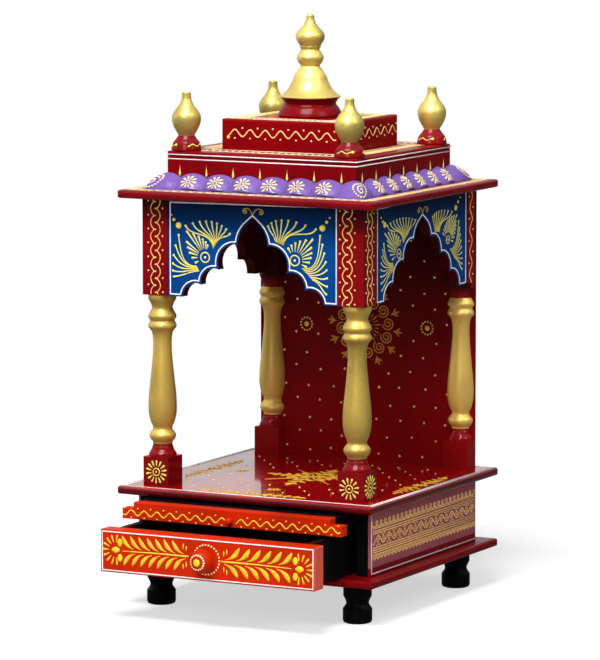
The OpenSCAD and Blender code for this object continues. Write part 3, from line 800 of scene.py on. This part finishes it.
# %% Feathers on the arches
def fan(cone, start, end, way, lean, flick, width=1.6, bead=1.45, tint=(0.55, 0.43), steps=14):
    """Strokes from starts to ends. Each leaves between its own direction and way, by lean, and arrives
    between its own direction and straight up, by flick; both shares run evenly from the first stroke to
    the last. The curve's four points are weighed by (1-t)^3, 3t(1-t)^2, 3t^2(1-t) and t^3. A bead is left
    where the cone is lifted off."""
    reach = np.linalg.norm(end - start, axis=1, keepdims=True)
    own = (end - start) / reach
    lean, flick = (np.linspace(*pair, len(end))[:, None] for pair in (lean, flick))
    leave = start + 0.5 * reach * (lean * np.asarray(way) + (1 - lean) * own)
    arrive = end - 0.4 * reach * (flick * np.array([0, 1]) + (1 - flick) * own)
    t = np.linspace(0, 1, steps)[None, :, None]
    weights = ((1 - t) ** 3, 3 * t * (1 - t) ** 2, 3 * t ** 2 * (1 - t), t ** 3)
    paths = sum(w * p[:, None] for w, p in zip(weights, (start, leave, arrive, end)))
    cone.stroke(paths, width * np.linspace(0.66, 1.0, steps), np.linspace(*tint, steps))
    cone.dots(end, bead, tint[1])


def plumes(cone, out, upper, eye, eye_ring, plume, lower, beads, fine=1.0, turn=1):
    """One half of an arch panel, with its outer side towards out; turn -1 mirrors it. The upper strokes
    rise and sweep outwards, the lower ones run outwards and rise, and short ones stand round the eye."""
    flip = np.array([turn, 1])
    def rows(roots, tips, count):
        return np.linspace(*np.asarray(roots, float), count) * flip, through(*tips, count) * flip
    fan(cone, *rows(*upper), (turn * out * 0.2, 0.98), (1.0, 0.3), (0.5, 0.4), 1.6 * fine, 1.45 * fine)
    fan(cone, *rows(*lower), (turn * out * 0.97, -0.1), (1.0, 0.7), (0.75, 0.1), 1.6 * fine, 1.45 * fine)
    centre = np.asarray(eye, float) * flip
    for tips, count in plume:
        ends = through(*tips, count) * flip
        away = ends - centre
        starts = centre + away * (eye_ring + 3.6) / np.linalg.norm(away, axis=1, keepdims=True)
        fan(cone, starts, ends, (0, 1), (0, 0), (0, 0), np.linspace(1.3, 2.3, 5) * fine, 1.5 * fine,
            (CORN, 0.41), 5)
    cone.stroke(round_path(centre, eye_ring), 1.4 * fine, 0.43, closed=True)
    cone.dots(centre, 1.4 * fine, CREAM)
    beads = np.asarray(beads)
    cone.dots(beads[:, :2] * flip, beads[:, 2], 0.54, height=1.0)


FRONT_LEFT = dict(
    out=-1, upper=[[(-46, 382), (-40, 391)], [(-79, 404), (-48, 409.5), (-26.5, 398)], 9],
    eye=(-56, 372), eye_ring=5.2,
    plume=[([(-53, 384.5), (-61, 392), (-77.5, 398)], 6), ([(-77.5, 387), (-74, 376), (-67, 366)], 5)],
    lower=[[(-66, 362.5), (-63, 357.5)], [(-87.5, 394), (-94, 368), (-93, 350)], 6],
    beads=[(-87.5, 404, 3.7), (-93, 410, 1.9), (-95.8, 414.8, 1.2)])
FRONT_RIGHT = dict(
    out=1, upper=[[(36, 389), (27.5, 392)], [(74, 407.5), (38, 415), (18.5, 408)], 8],
    eye=(49.5, 374), eye_ring=5.4,
    plume=[([(42, 386), (53, 393), (70, 396.5)], 6), ([(68.5, 388), (68, 377.5), (62.5, 368)], 5)],
    lower=[[(58, 366), (70, 355)], [(79, 401), (86, 370), (86, 341)], 8],
    beads=[(81.5, 409, 3.8), (86.5, 415.5, 1.9), (90, 420, 1.1)])
SIDE_NEAR = dict(
    out=-1, upper=[[(-37, 388), (-26, 397)], [(-74, 409), (-42, 413.5), (-9, 409)], 10],
    eye=(-47, 377.5), eye_ring=4.6,
    plume=[([(-44, 391), (-58, 399.5), (-79, 401)], 7), ([(-74, 393.5), (-70, 383), (-62, 373)], 5)],
    lower=[[(-61, 369), (-58, 362)], [(-82, 391), (-88, 368), (-86, 343)], 8],
    beads=[(-80, 410.5, 3.5), (-85, 414.2, 1.8), (-88.5, 418.5, 1.3)])
SIDE_FAR = dict(
    out=1, upper=[[(48, 391.5), (38, 392.5)], [(78, 410.5), (50, 413.5), (32, 409)], 8],
    eye=(69, 381.5), eye_ring=4.2,
    plume=[([(57, 389), (69, 402), (90, 405.5)], 9), ([(88, 399), (86, 389), (80, 379)], 6)],
    lower=[[(74, 371), (86, 360)], [(95, 399), (101.5, 371), (103, 347)], 9],
    beads=[(87.5, 414, 3.5), (93, 420, 2.0), (98, 424, 1.2)])


def scrolls(cone, tip):
    """A pair of curls that spring from the tip of an arch."""
    for hand, lead, rest in ((-1, (-2.5, 8.5), (-8.5, 7.2)), (1, (3, 9), (10, 6.8))):
        cone.stroke(bend(tip + (hand * 0.4, 0.5), tip + lead, tip + rest), 1.0, 0.7, 0.3)
        cone.stroke(curl(tip + rest - (0, 3.0), 3.0, 1.3, math.pi / 2, -hand), 1.1, 0.7, 0.3)


front_cone = PaintCone(flat(FRONT, -arch_low[1]))
front_outline = cusp_line(FRONT_CUSPS, arch_high[0] - arch_low[0], HEAD_HEIGHT) + (0, HEAD_FOOT)
front_cone.stroke(front_outline, 1.5, WHITE, closed=True)
plumes(front_cone, **FRONT_LEFT)
plumes(front_cone, **FRONT_RIGHT)
scrolls(front_cone, front_outline[0])
set_down([front_cone], "front_arch_painting")

side_low, side_high = node_box("arch_right")
side_length, side_middle = side_high[1] - side_low[1], (side_low[1] + side_high[1]) / 2
side_outline = cusp_line(SIDE_CUSPS, side_length, HEAD_HEIGHT, edge=3.4) + (side_middle, HEAD_FOOT)
for label, side, turn in BOTH_SIDES:
    side_cone = PaintCone(flat(side, side_high[0]))
    side_cone.stroke(side_outline * (turn, 1), 1.5, WHITE, closed=True)
    plumes(side_cone, **SIDE_NEAR, fine=0.86, turn=turn)
    plumes(side_cone, **SIDE_FAR, fine=0.86, turn=turn)
    scrolls(side_cone, side_outline[0] * (turn, 1))
    set_down([side_cone], f"{label}_arch_painting")

# %% [markdown]
# ## Pillar blocks
# On the top blocks two rows of scallops face each other, half a step apart, with a dot beside each
# point. The base blocks carry a sunburst. The half pillars at the back have one plain wave.


# %% Blocks
def chain(cone, middle, low, high, period=14.7, out=4.7, start=0.35):
    """Scallops: sideways, the path goes out with the sine of half a turn per step, to the power 0.7, so
    it is round outside and pointed inside. The second row is the first, mirrored half a step on."""
    steps = np.linspace(0, (high - low) / period, int((high - low) / period * 12))
    for hand, shift in ((-1, start), (1, start + 0.5)):
        out_by = np.abs(np.sin(math.pi * (steps + shift))) ** 0.7
        cone.stroke(uv(middle + hand * (1.0 + out * out_by), low + period * steps), 1.1, PEACH)
        points = np.arange(math.ceil(shift), steps[-1] + shift) - shift
        heights = low + period * points
        dab = [uv(middle + hand * reach, heights) for reach in (2.6, 1.0, -0.9)]
        cone.stroke(bend(*dab, 5), 2.0 * swell(5, 0.5), 0.56)
        cone.dots(uv(middle + hand * 8.6, heights + 0.6), 1.05, STRAW)


pillar_low, pillar_high = node_box("pillar_front_right")
PILLAR_FACE, PILLAR_X = pillar_high[0], (pillar_low[0] + pillar_high[0]) / 2
HEAD_SPAN = (HEAD_FOOT + 0.8, ROOF_UNDER - 1.0)
BLOCK_MIDDLE = FLOOR_TOP + 14.2
front_blocks = PaintCone(flat(FRONT, PILLAR_FACE))
chain(front_blocks, -PILLAR_X + 0.6, *HEAD_SPAN)
chain(front_blocks, PILLAR_X - 3.9, *HEAD_SPAN, start=0.4)
rosette(front_blocks, (-PILLAR_X + 0.5, BLOCK_MIDDLE), 6.0, 12.6, 14, 2.8, CORN, 3.9)
rosette(front_blocks, (PILLAR_X - 1.5, BLOCK_MIDDLE - 1.2), 5.6, 11.6, 12, 2.8, CORN, 3.9)
set_down([front_blocks], "front_block_painting")
rear_middle = node_box("pillar_back_right")[0][1] + 6.0
for label, side, turn in BOTH_SIDES:
    side_blocks = PaintCone(flat(side, PILLAR_FACE))
    chain(side_blocks, turn * (-PILLAR_X - 1.5), *HEAD_SPAN, start=0.1)
    rosette(side_blocks, (-turn * PILLAR_X, BLOCK_MIDDLE), 6.0, 12.6, 14, 2.8, CORN, 4.2)
    turned_blocks = PaintCone(upended(side_blocks.face))
    wave(turned_blocks, *HEAD_SPAN, -turn * rear_middle, 3.1, 24.0, HEAD_FOOT + 10, 1.35, PEACH,
         4.6, 1.1, PEACH)
    set_down([side_blocks, turned_blocks], f"{label}_block_painting")

# %% [markdown]
# ## Cornice
# Six lobes to a side, each with a daisy that lies on its round face, and a dotted oval on every corner.
# The lobes have a known form, so the daisies are drawn flat, and a formula wraps them onto the lobe. At
# the foot of each lobe the wet lilac has gathered in a small glossy bead.

# %% Daisies on the lobes
tier_low, tier_high = node_box("upper_tier")
TIER_FACE, TIER_FOOT = tier_high[0], tier_low[2]
CORNICE_OUT, CORNICE_HEIGHT, LOBE_DIP, LOBES = 17.5, 17.0, 4.5, 6
CREST_SHARE, LOBED_SHARE, DAISY_ANGLE = 1.05, 0.86, 41
crest_chord = math.hypot(CORNICE_OUT, CORNICE_HEIGHT)
CREST_R = CREST_SHARE * crest_chord
crest_drop = math.sqrt(CREST_R ** 2 - crest_chord ** 2 / 4)
AXIS_OUT = TIER_FACE + CORNICE_OUT / 2 - crest_drop * CORNICE_HEIGHT / crest_chord
AXIS_UP = TIER_FOOT + CORNICE_HEIGHT / 2 - crest_drop * CORNICE_OUT / crest_chord
LOBE_W = LOBED_SHARE * 2 * TIER_FACE / LOBES
LOBE_R = (LOBE_W ** 2 / 4 + LOBE_DIP ** 2) / (2 * LOBE_DIP)


def lobed(side):
    """The moulding is turned about a level axis. Its radius along u is a row of arcs, highest in the
    middle of each lobe; v is the length round the axis, from level."""
    def place(p):
        from_middle = (p[..., 0] % LOBE_W) - LOBE_W / 2
        radius = CREST_R - LOBE_R + np.sqrt(LOBE_R ** 2 - from_middle ** 2) + p[..., 2]
        turn = p[..., 1] / CREST_R
        return quarter_turned(np.stack([p[..., 0], -AXIS_OUT - radius * np.cos(turn),
                                        AXIS_UP + radius * np.sin(turn)], -1), side)
    return place


def corner_lobe(side):
    """The plain round end of the moulding at a side's right corner: u is counted from the mitre and
    folds round it."""
    def place(p):
        radius, turn = CREST_R + p[..., 2], p[..., 1] / CREST_R
        out = AXIS_OUT + radius * np.cos(turn)
        here = np.stack([out + np.minimum(p[..., 0], 0), -out + np.maximum(p[..., 0], 0),
                         AXIS_UP + radius * np.sin(turn)], -1)
        return quarter_turned(here, side)
    return place


DAISY_UP = CREST_R * math.radians(DAISY_ANGLE)
FOOT_UP = CREST_R * math.asin((TIER_FOOT - AXIS_UP) / CREST_R) + 2.2
LOBE_MIDDLES = (np.arange(LOBES) + 0.5 - LOBES / 2) * LOBE_W
cornice_cones, foot_cones = [], []
for side in range(4):
    daisies = PaintCone(lobed(side))
    for lobe, middle in enumerate(LOBE_MIDDLES):
        centre = (middle, DAISY_UP)
        rosette(daisies, centre, 3.0, 9.4, 10, 3.4, 0.23, 0, 0.1 * lobe)
        daisies.stroke(round_path(centre, 2.0, 10), 0.9, BUTTER, 0.35, closed=True)
    corner = PaintCone(corner_lobe(side))
    corner.dots(round_path((1.0, DAISY_UP), (9.8, 8.4), 20), 1.1, BUTTER)
    corner.stroke(curl((1.0, DAISY_UP), 6.0, 1.4, 0.5, 1, 22), 1.4, BUTTER)
    cornice_cones += [daisies, corner]
    feet = PaintCone(lobed(side))
    start, end = (uv(LOBE_MIDDLES + share * LOBE_W, FOOT_UP) for share in (-0.3, 0.44))
    feet.stroke(bend(start, (start + end) / 2 + (0, 1.4), end, 10), 4.8 * leaf_width(10), WHITE, 2.0)
    foot_cones.append(feet)
set_down(cornice_cones, "cornice_painting")
set_down(foot_cones, "cornice_feet", finish=lilac_gloss)

# %% [markdown]
# ## Upper tiers
# Gold drops hang over the valleys of the cornice, two white lines run round the lid, and the top box
# has a yellow wave. Borders of slanted petals lie on the ledges of the lid, the box and the roof.


# %% Ledge borders
def petal_border(cone, distance, half, width, pitch, tint, plump=0.44, line=1.1):
    """A row of slanted petals along the front edge of a level ledge, between two lines. Each petal bends
    from the inner line to the outer one, so that the row reads as a rope."""
    row = np.arange(-half, half - pitch / 2, pitch)
    inner = uv(row, -distance + width / 2)
    outer, middle = (uv(row + share * pitch, -distance - width / 2) for share in (0.9, 0.1))
    cone.stroke(bend(inner, middle, outer, 6), plump * pitch * leaf_width(6), tint)
    for edge in (-1, 1):
        cone.stroke(uv((-half, half), -distance + edge * width * 0.72), line, CREAM)


lid_high, box_high, roof_high = (node_box(name)[1] for name in ("tier_lid", "top_box", "roof_board"))
LID_TOP, BOX_TOP, ROOF_TOP = lid_high[2], box_high[2], roof_high[2]
DROPS_UP, TIER_LINE_UP = TIER_FOOT + 25.4, TIER_FOOT + 31.2
LID_LINE_UP, BOX_WAVE_UP = LID_TOP - 3.6, BOX_TOP - 14.8
lid_cones, box_cones, roof_cones, tier_cones = [], [], [], []
for side in range(4):
    lid_border = PaintCone(ledge(side, LID_TOP))
    petal_border(lid_border, 86.0, 78.0, 14.0, 7.8, STRAW, 0.36)
    box_border = PaintCone(ledge(side, BOX_TOP))
    petal_border(box_border, 56.0, 63.0, 10.0, 6.3, 0.4)
    roof_border = PaintCone(ledge(side, ROOF_TOP))
    petal_border(roof_border, 137.6, 140.2, 7.0, 10.0, STRAW, 0.28, 0.6)
    box_face = PaintCone(flat(side, box_high[0]))
    wave(box_face, -60.5, 66.5, BOX_WAVE_UP, 3.7, 18.1, -53.0, 1.5, 0.31, 5.4, 1.15, STRAW)
    box_face.dots([(-60.8, BOX_TOP - 19.6)], 2.1, HONEY)
    tier_face = PaintCone(flat(side, TIER_FACE))
    drops = uv(np.arange(-3, 4) * LOBE_W - 0.8, DROPS_UP)
    tier_face.stroke(bend(drops, drops - (0, 5), drops - (0, 12.2), 9), 4.2 * swell(9, 0.1, 0.8) ** 1.9,
                     np.linspace(STRAW, 0.52, 9), 0.9)
    tier_face.stroke(uv((-TIER_FACE, TIER_FACE), TIER_LINE_UP), 1.3, WHITE)
    lid_edge = PaintCone(flat(side, lid_high[0] - 0.1))
    lid_edge.stroke(uv((-lid_high[0], lid_high[0]), LID_LINE_UP), 1.3, WHITE)
    lid_cones += [lid_border, lid_edge]
    box_cones += [box_border, box_face]
    roof_cones.append(roof_border)
    tier_cones.append(tier_face)
set_down(lid_cones, "lid_painting")
set_down(box_cones, "top_box_painting")
set_down(roof_cones, "roof_painting")
set_down(tier_cones, "upper_tier_painting")


# %% Finial feet
def turned_face(x, y, foot, profile):
    """The outside of a turned piece: u is the angle in degrees, v the height above its foot, and the
    radius is read from a few heights and radii."""
    heights, radii = np.array(profile, float).T
    def place(p):
        radius = np.interp(p[..., 1], heights, radii) + p[..., 2]
        turn = np.radians(p[..., 0])
        return np.stack([x + radius * np.cos(turn), y + radius * np.sin(turn), foot + p[..., 1]], -1)
    return place


FINIAL_FOOT = [(0, 15.5), (1.5, 16.0), (4.3, 15.4), (8.2, 14.1), (12.0, 11.0), (15.7, 8.5)]
FIRST_TURNS = (-176, -118, 60, -8)
finial_cones = []
for corner, first in zip(CORNERS, FIRST_TURNS):
    finial_low, finial_high = node_box(f"finial_{corner}")
    x, y = (finial_low[:2] + finial_high[:2]) / 2
    squiggle = PaintCone(turned_face(x, y, LID_TOP, FINIAL_FOOT))
    finial_cones.append(squiggle)
    for start in (first, first + 120, first + 240):
        u = np.linspace(start, start + 56, 14)
        rise = 6.0 - 1.1 * np.cos((u - start) / 44 * math.tau)
        squiggle.stroke(uv(u, rise), np.linspace(1.4, 0.9, 14), CORN)
        u = np.linspace(start + 56, start + 74, 7)
        squiggle.stroke(uv(u, 6.4), 3.8 * swell(7, 0.2), 0.48)
set_down(finial_cones, "finial_painting")

# %% [markdown]
# ## Back panel
# A dull gold mandala of curls fills the middle of the back, with two dotted rosettes beside it and cream
# dots in staggered rows. The dots are set off their rows by a small seeded wobble, as by hand.


# %% Mandala and dots
def mandala(cone, centre, tint=0.85, count=12, curls_at=28.5, leaves_at=34.5):
    """Rings about one centre: small petals, rays, curls, and three leaves between each two curls."""
    centre = np.asarray(centre, float)
    rosette(cone, centre, 3.5, 8.5, 10, 2.4, tint, 2.4)
    turns = np.arange(count) * math.tau / count + 0.15
    cone.stroke(radial(centre, 10.0, 19.0, turns, 7), 2.2 * swell(7), tint)
    cone.stroke(radial(centre, 11.0, 17.0, turns + math.pi / count, 7), 1.8 * swell(7), tint)
    for turn in turns:
        cone.stroke(curl(centre + curls_at * towards(turn), 7.4, 1.9, turn + math.pi, 1, 28), 1.6, tint)
        out = towards(turn + math.pi / count)
        root = centre + leaves_at * out
        tips = np.stack([root + (11.0 - 3 * abs(k)) * out + k * 4.6 * to_left(out) for k in (-1, 0, 1)])
        cone.stroke(bend(root, root + 4 * out, tips, 6), 3.0 * swell(6), tint)


def scatter(cone, low, high, step, tint, radius, clear, seed, wobble=2.6):
    """Dots in staggered rows between two corners, each moved a little, with none inside a clear circle
    (centre u, centre v, radius)."""
    chance = np.random.default_rng(seed)
    u, v = np.meshgrid(np.arange(low[0], high[0], float(step[0])), np.arange(low[1], high[1], step[1]))
    u[1::2] += step[0] / 2
    places = uv(u, v).reshape(-1, 2)
    places += chance.uniform(-wobble, wobble, places.shape)
    away = np.linalg.norm(places[:, None] - np.asarray(clear)[None, :, :2], axis=-1)
    free = (away > np.asarray(clear)[:, 2]).all(1) & (places < high).all(1)
    cone.dots(places[free], radius, tint)


back_face = node_box("back_panel")[0][1]
back_cone = PaintCone(flat(FRONT, -back_face))
MANDALA, SIDE_ROSETTES = (-1.5, 275.0), ((-73.0, 273.5), (74.0, 277.0))
mandala(back_cone, MANDALA)
for centre in SIDE_ROSETTES:
    back_cone.dots(centre, 3.2, 0.68, 0.8)
    back_cone.dots(round_path(centre, 7.0, 13), 1.15, PEACH)
BACK_CLEAR = [(*MANDALA, 50), *((*centre, 12) for centre in SIDE_ROSETTES)]
scatter(back_cone, (-98, 136), (99, 424), (28.0, 18.0), STRAW, 1.45, BACK_CLEAR, 7)
set_down([back_cone], "back_panel_painting")

# %% [markdown]
# ## Drawer and tray
# The drawer front has a leafy branch to each side of the knob, ending in a flower, within a white frame.
# The strip of the tray has a wave. Both ride on what slides.


# %% Leafy branches
def branch(cone, start, length, turn, pairs, leaf, tint=(0.66, 0.69)):
    """A stem with leaves above and below. A leaf leaves the stem with a fine tail, runs along it, turns
    away and grows fat towards its round tip."""
    start = np.asarray(start, float)
    flip = np.array([turn, 1])
    cone.stroke(bend(start, start + (turn * length / 2, 0.6), start + (turn * length, -0.6), 10),
                np.linspace(1.9, 0.8, 10), HONEY)
    step = (length - leaf[0] - 5) / (pairs - 1) * np.arange(pairs)
    t = np.linspace(0, 1, 10)
    width = leaf[2] * np.clip(np.sin(math.pi * t ** 1.7) ** 0.8, 0.16, 1)
    for up in (1, -1):
        foot = start + flip * uv(step + 4.5 + up, up * 2.4)
        reach = np.array([leaf[0], up * leaf[1]])
        middle = foot + flip * reach * (0.68, 0.16)
        cone.stroke(bend(foot, middle, foot + flip * reach, 10), width, np.linspace(*tint, 10))
    sprig = start + flip * np.array([(2.5, 5.5), (6.0, 7.5), (2.5, -5.5), (6.0, -8.0)])
    rise = flip * (0.2, 1) * np.sign(sprig - start) * (1, 5.5)
    cone.stroke(bend(sprig, sprig + flip * (0.5, 0), sprig + rise, 6), 2.0 * swell(6), HONEY)


def end_flower(cone, centre, turn, reach=16.0):
    """A half flower that closes a branch: a bud, two round petals and a fan of thin ones."""
    centre = np.asarray(centre, float)
    turns = math.pi / 2 - turn * math.pi / 2 + np.radians(np.linspace(-96, 96, 9))
    cone.stroke(radial(centre, 8.0, reach, turns, 7), 2.6 * swell(7, 0.35), 0.63)
    bud = np.sin(np.linspace(0.3, math.pi - 0.3, 7))
    cone.stroke(bend(centre - (turn * 4.8, 0), centre, centre + (turn * 4.6, 0), 7), 7.0 * bud, 0.63, 0.8)
    for up in (1, -1):
        petal = centre + (-turn * 5.0, up * 8.2)
        cone.stroke(bend(petal - (0, up * 4.2), petal, petal + (0, up * 3.8), 7), 7.0 * bud, 0.63, 0.8)


drawer_low, drawer_high = node_box("drawer_front")
DRAWER_MIDDLE = (drawer_low[2] + drawer_high[2]) / 2
drawer_cone = PaintCone(flat(FRONT, -drawer_low[1]))
frame_u, frame_v = drawer_high[0] - 2.4, (drawer_high[2] - drawer_low[2]) / 2 - 2.2
line_frame(drawer_cone, frame_u, frame_v, 1.3, WHITE, (0, DRAWER_MIDDLE))
branch(drawer_cone, (-21.0, DRAWER_MIDDLE + 1.6), 78.0, -1, 7, (13.5, 13.0, 4.6))
branch(drawer_cone, (17.5, DRAWER_MIDDLE - 0.4), 81.0, 1, 6, (15.5, 13.2, 5.4))
end_flower(drawer_cone, (-107.0, DRAWER_MIDDLE + 1.6), -1)
end_flower(drawer_cone, (108.0, DRAWER_MIDDLE - 1.0), 1)
drawer_cone.dots(round_path((0, DRAWER_MIDDLE), 15.2, 27), 1.2, 0.24)
knob_low, knob_high = node_box("drawer_knob")
KNOB_R, KNOB_L = (knob_high[0] - knob_low[0]) / 2, drawer_low[1] - knob_low[1]


def knob_face(p):
    """The rounded end of the knob: it falls back with the second and fourth power of the distance from
    its middle."""
    away = np.hypot(p[..., 0], p[..., 1]) / KNOB_R
    depth = KNOB_L * (1 - 0.098 * away ** 2 - 0.247 * away ** 4)
    return np.stack([p[..., 0], drawer_low[1] - depth - p[..., 2], DRAWER_MIDDLE + p[..., 1]], -1)


knob_cone = PaintCone(knob_face)
knob_cone.dots((0, 0), 4.2, YELLOW)
knob_cone.dots(round_path((0, 0), 7.7, 18), 1.05, BUTTER)
set_down([drawer_cone, knob_cone], "drawer_painting", "drawer")

tray_low = node_box("tray_front")[0]
tray_cone = PaintCone(flat(FRONT, -tray_low[1]))
WAVE_UP = tray_low[2] + 6.6
for start, end, period, crest in ((-127.5, -6.5, 15.4, -102.5), (6.0, 127.5, 15.0, 12.5)):
    wave(tray_cone, start, end, WAVE_UP, 2.7, period, crest, 1.6, 0.64, 4.9, 1.15, 0.7)
set_down([tray_cone], "tray_painting", "tray")

# %% [markdown]
# ## Plinth and floor
# The plinth's sides carry bands: a row of loops, lines, a vine with curls, lines and a row of scallops.
# The shrine floor has a cross of branches, sprays and white lines along its edges, and dots.

# %% Plinth bands
LOOPS_UP, VINE_UP, SCALLOPS_UP, BEADS_UP = 53.8, 36.8, 21.0, 21.4
LINES_UP = (49.4, 46.4, 44.0, 29.2, 26.8, 24.4, 21.8)


def plinth_bands(cone, low, high, foot, tint=0.34, loop=9.6, bay=12.4, scallop=8.2):
    """Bands from the top down, at heights above the base board. The loops are a circle carried along:
    u = loop t - a sin, v = b cos. The vine below is a cosine with a curl and two leaves in every bay.
    The lowest row hangs in scallops, the size of a sine, with a drop in each."""
    t = np.linspace(0, (high - low) / loop, int((high - low) / loop * 14))
    turn = t * math.tau
    cone.stroke(uv(low + loop * t - 4.2 * np.sin(turn), foot + LOOPS_UP + 2.7 * np.cos(turn)), 1.6, tint)
    for height in LINES_UP:
        cone.stroke(uv((low, high), foot + height), 1.4, tint)
    places = np.arange(low + bay, high - bay / 2, bay)
    u = np.linspace(low, high, int((high - low) / bay * 8))
    vine = foot + VINE_UP + 4.2 * np.cos((u - places[0]) / bay * math.pi)
    cone.stroke(uv(u, vine), 1.7, tint)
    for k, u in enumerate(places):
        hand = -1 if k % 2 else 1
        centre = np.array([u, foot + VINE_UP - hand * 1.6])
        cone.stroke(curl(centre, 3.4, 1.1, hand * 0.4, hand, 14), 1.4, tint)
        tips = centre + np.array([(5.4, -hand * 3.4), (-5.4, -hand * 3.4)])
        middle = (centre + tips) / 2 - (0, hand * 2.4)
        cone.stroke(bend(centre - (0, hand * 3.2), middle, tips, 6), 1.8 * swell(6), tint)
    u = np.linspace(low, high, int((high - low) / scallop * 10))
    hang = foot + SCALLOPS_UP - 4.2 * np.abs(np.sin((u - low) / scallop * math.pi))
    cone.stroke(uv(u, hang), 1.5, tint)
    row = np.arange(low + scallop / 2, high, scallop)
    feet = uv(row, foot + BEADS_UP)
    cone.stroke(bend(feet, feet - (0, 1), feet - (0, 3.2), 5), 2.2 * swell(5), tint)


BASE_TOP = plinth_low[2]
for label, side, turn in BOTH_SIDES:
    plinth_cone = PaintCone(flat(side, plinth_high[0]))
    ends = sorted((turn * (plinth_low[1] + 5.5), turn * (plinth_high[1] - 2.5)))
    plinth_bands(plinth_cone, *ends, BASE_TOP)
    corner = turn * (plinth_low[1] + 2.6)
    far_end = turn * (plinth_high[1] - 0.5)
    path = [(corner, plinth_high[2] - 2), (corner, BASE_TOP + 2.8), (far_end, BASE_TOP + 2.8)]
    plinth_cone.stroke(path, 1.6, WHITE)
    set_down([plinth_cone], f"{label}_plinth_painting")


# %% Floor
def spray(cone, start, reach, pairs, leaf, tint):
    """A branch in any direction: pairs of leaves that grow shorter towards its tip, and a last leaf."""
    start, reach = np.asarray(start, float), np.asarray(reach, float)
    length = np.linalg.norm(reach)
    along = reach / length
    across = to_left(along)
    stem = start + np.linspace(0, 1, 6)[:, None] * reach
    cone.stroke(stem, np.linspace(1.4, 0.8, 6), tint)
    foot = start + np.linspace(0.05, 0.9, pairs)[:, None] * reach
    size = leaf * np.linspace(1.0, 0.62, pairs)[:, None]
    for hand in (1, -1):
        tip = foot + size * (0.75 * along + hand * 0.85 * across)
        middle = foot + size * (0.6 * along + hand * 0.2 * across)
        cone.stroke(bend(foot, middle, tip, 8), 0.44 * size * leaf_width(8), tint)
    cone.stroke(bend(start + reach, start + reach + along * 2, start + reach + along * leaf, 8),
                0.46 * leaf * leaf_width(8), tint)


floor_cone = PaintCone(ledge(FRONT, FLOOR_TOP))
FLOOR_HALF = (floor_high[0] - floor_low[0]) / 2
FLOOR_MIDDLE = np.array([5.0, -2.0])
FLOOR_CLEAR = [(5, 0, 64), (-82, 0, 12), (8, -97, 12)]
rosette(floor_cone, FLOOR_MIDDLE, 5, 14, 10, 4.6, GOLDEN, 3.4)
for turn, length in zip(np.radians([0, 90, 180, 270]), (36, 34, 34, 42)):
    away = towards(turn)
    spray(floor_cone, FLOOR_MIDDLE + 12 * away, (length - 6) * away, 3, 15.0, GOLDEN)
for turn in np.radians([45, 135, 225, 315]):
    away = towards(turn)
    floor_cone.stroke(radial(FLOOR_MIDDLE, 14, 54, np.array([turn]), 6), np.linspace(1.4, 0.7, 6), GOLDEN)
    spray(floor_cone, FLOOR_MIDDLE + 15 * away, 10 * away, 2, 8.5, GOLDEN)
EDGE_SPRAYS, EDGE_ROSETTES = 131, 97
edge_cones = []
for side in range(4):
    edge_cone = PaintCone(ledge(side, FLOOR_TOP))
    edge_cones.append(edge_cone)
    inward = 15 if side == LEFT else 0
    for inset in (2.2, 5.8) if side in (LEFT, RIGHT) else (5.4,):
        edge = FLOOR_HALF - inset
        edge_cone.stroke(uv((-edge, edge), -edge), 1.5, WHITE)
    if side == BACK:
        continue
    for hand in (1, -1):
        spray(edge_cone, (hand * 10, inward - EDGE_SPRAYS), (hand * 42, 0), 4, 12.0, GOLDEN)
    rosette(edge_cone, (0, inward - EDGE_SPRAYS), 2.6, 8.5, 9, 2.8, GOLDEN, 1.6)
    if side != RIGHT:
        rosette(edge_cone, (8 - inward / 2, inward - EDGE_ROSETTES), 2.6, 7.5, 10, 2.4, GOLDEN, 1.6)
scatter(floor_cone, (-112, -112), (113, 113), (34, 21), STRAW, 1.15, FLOOR_CLEAR, 11)
set_down([floor_cone, *edge_cones], "floor_painting")
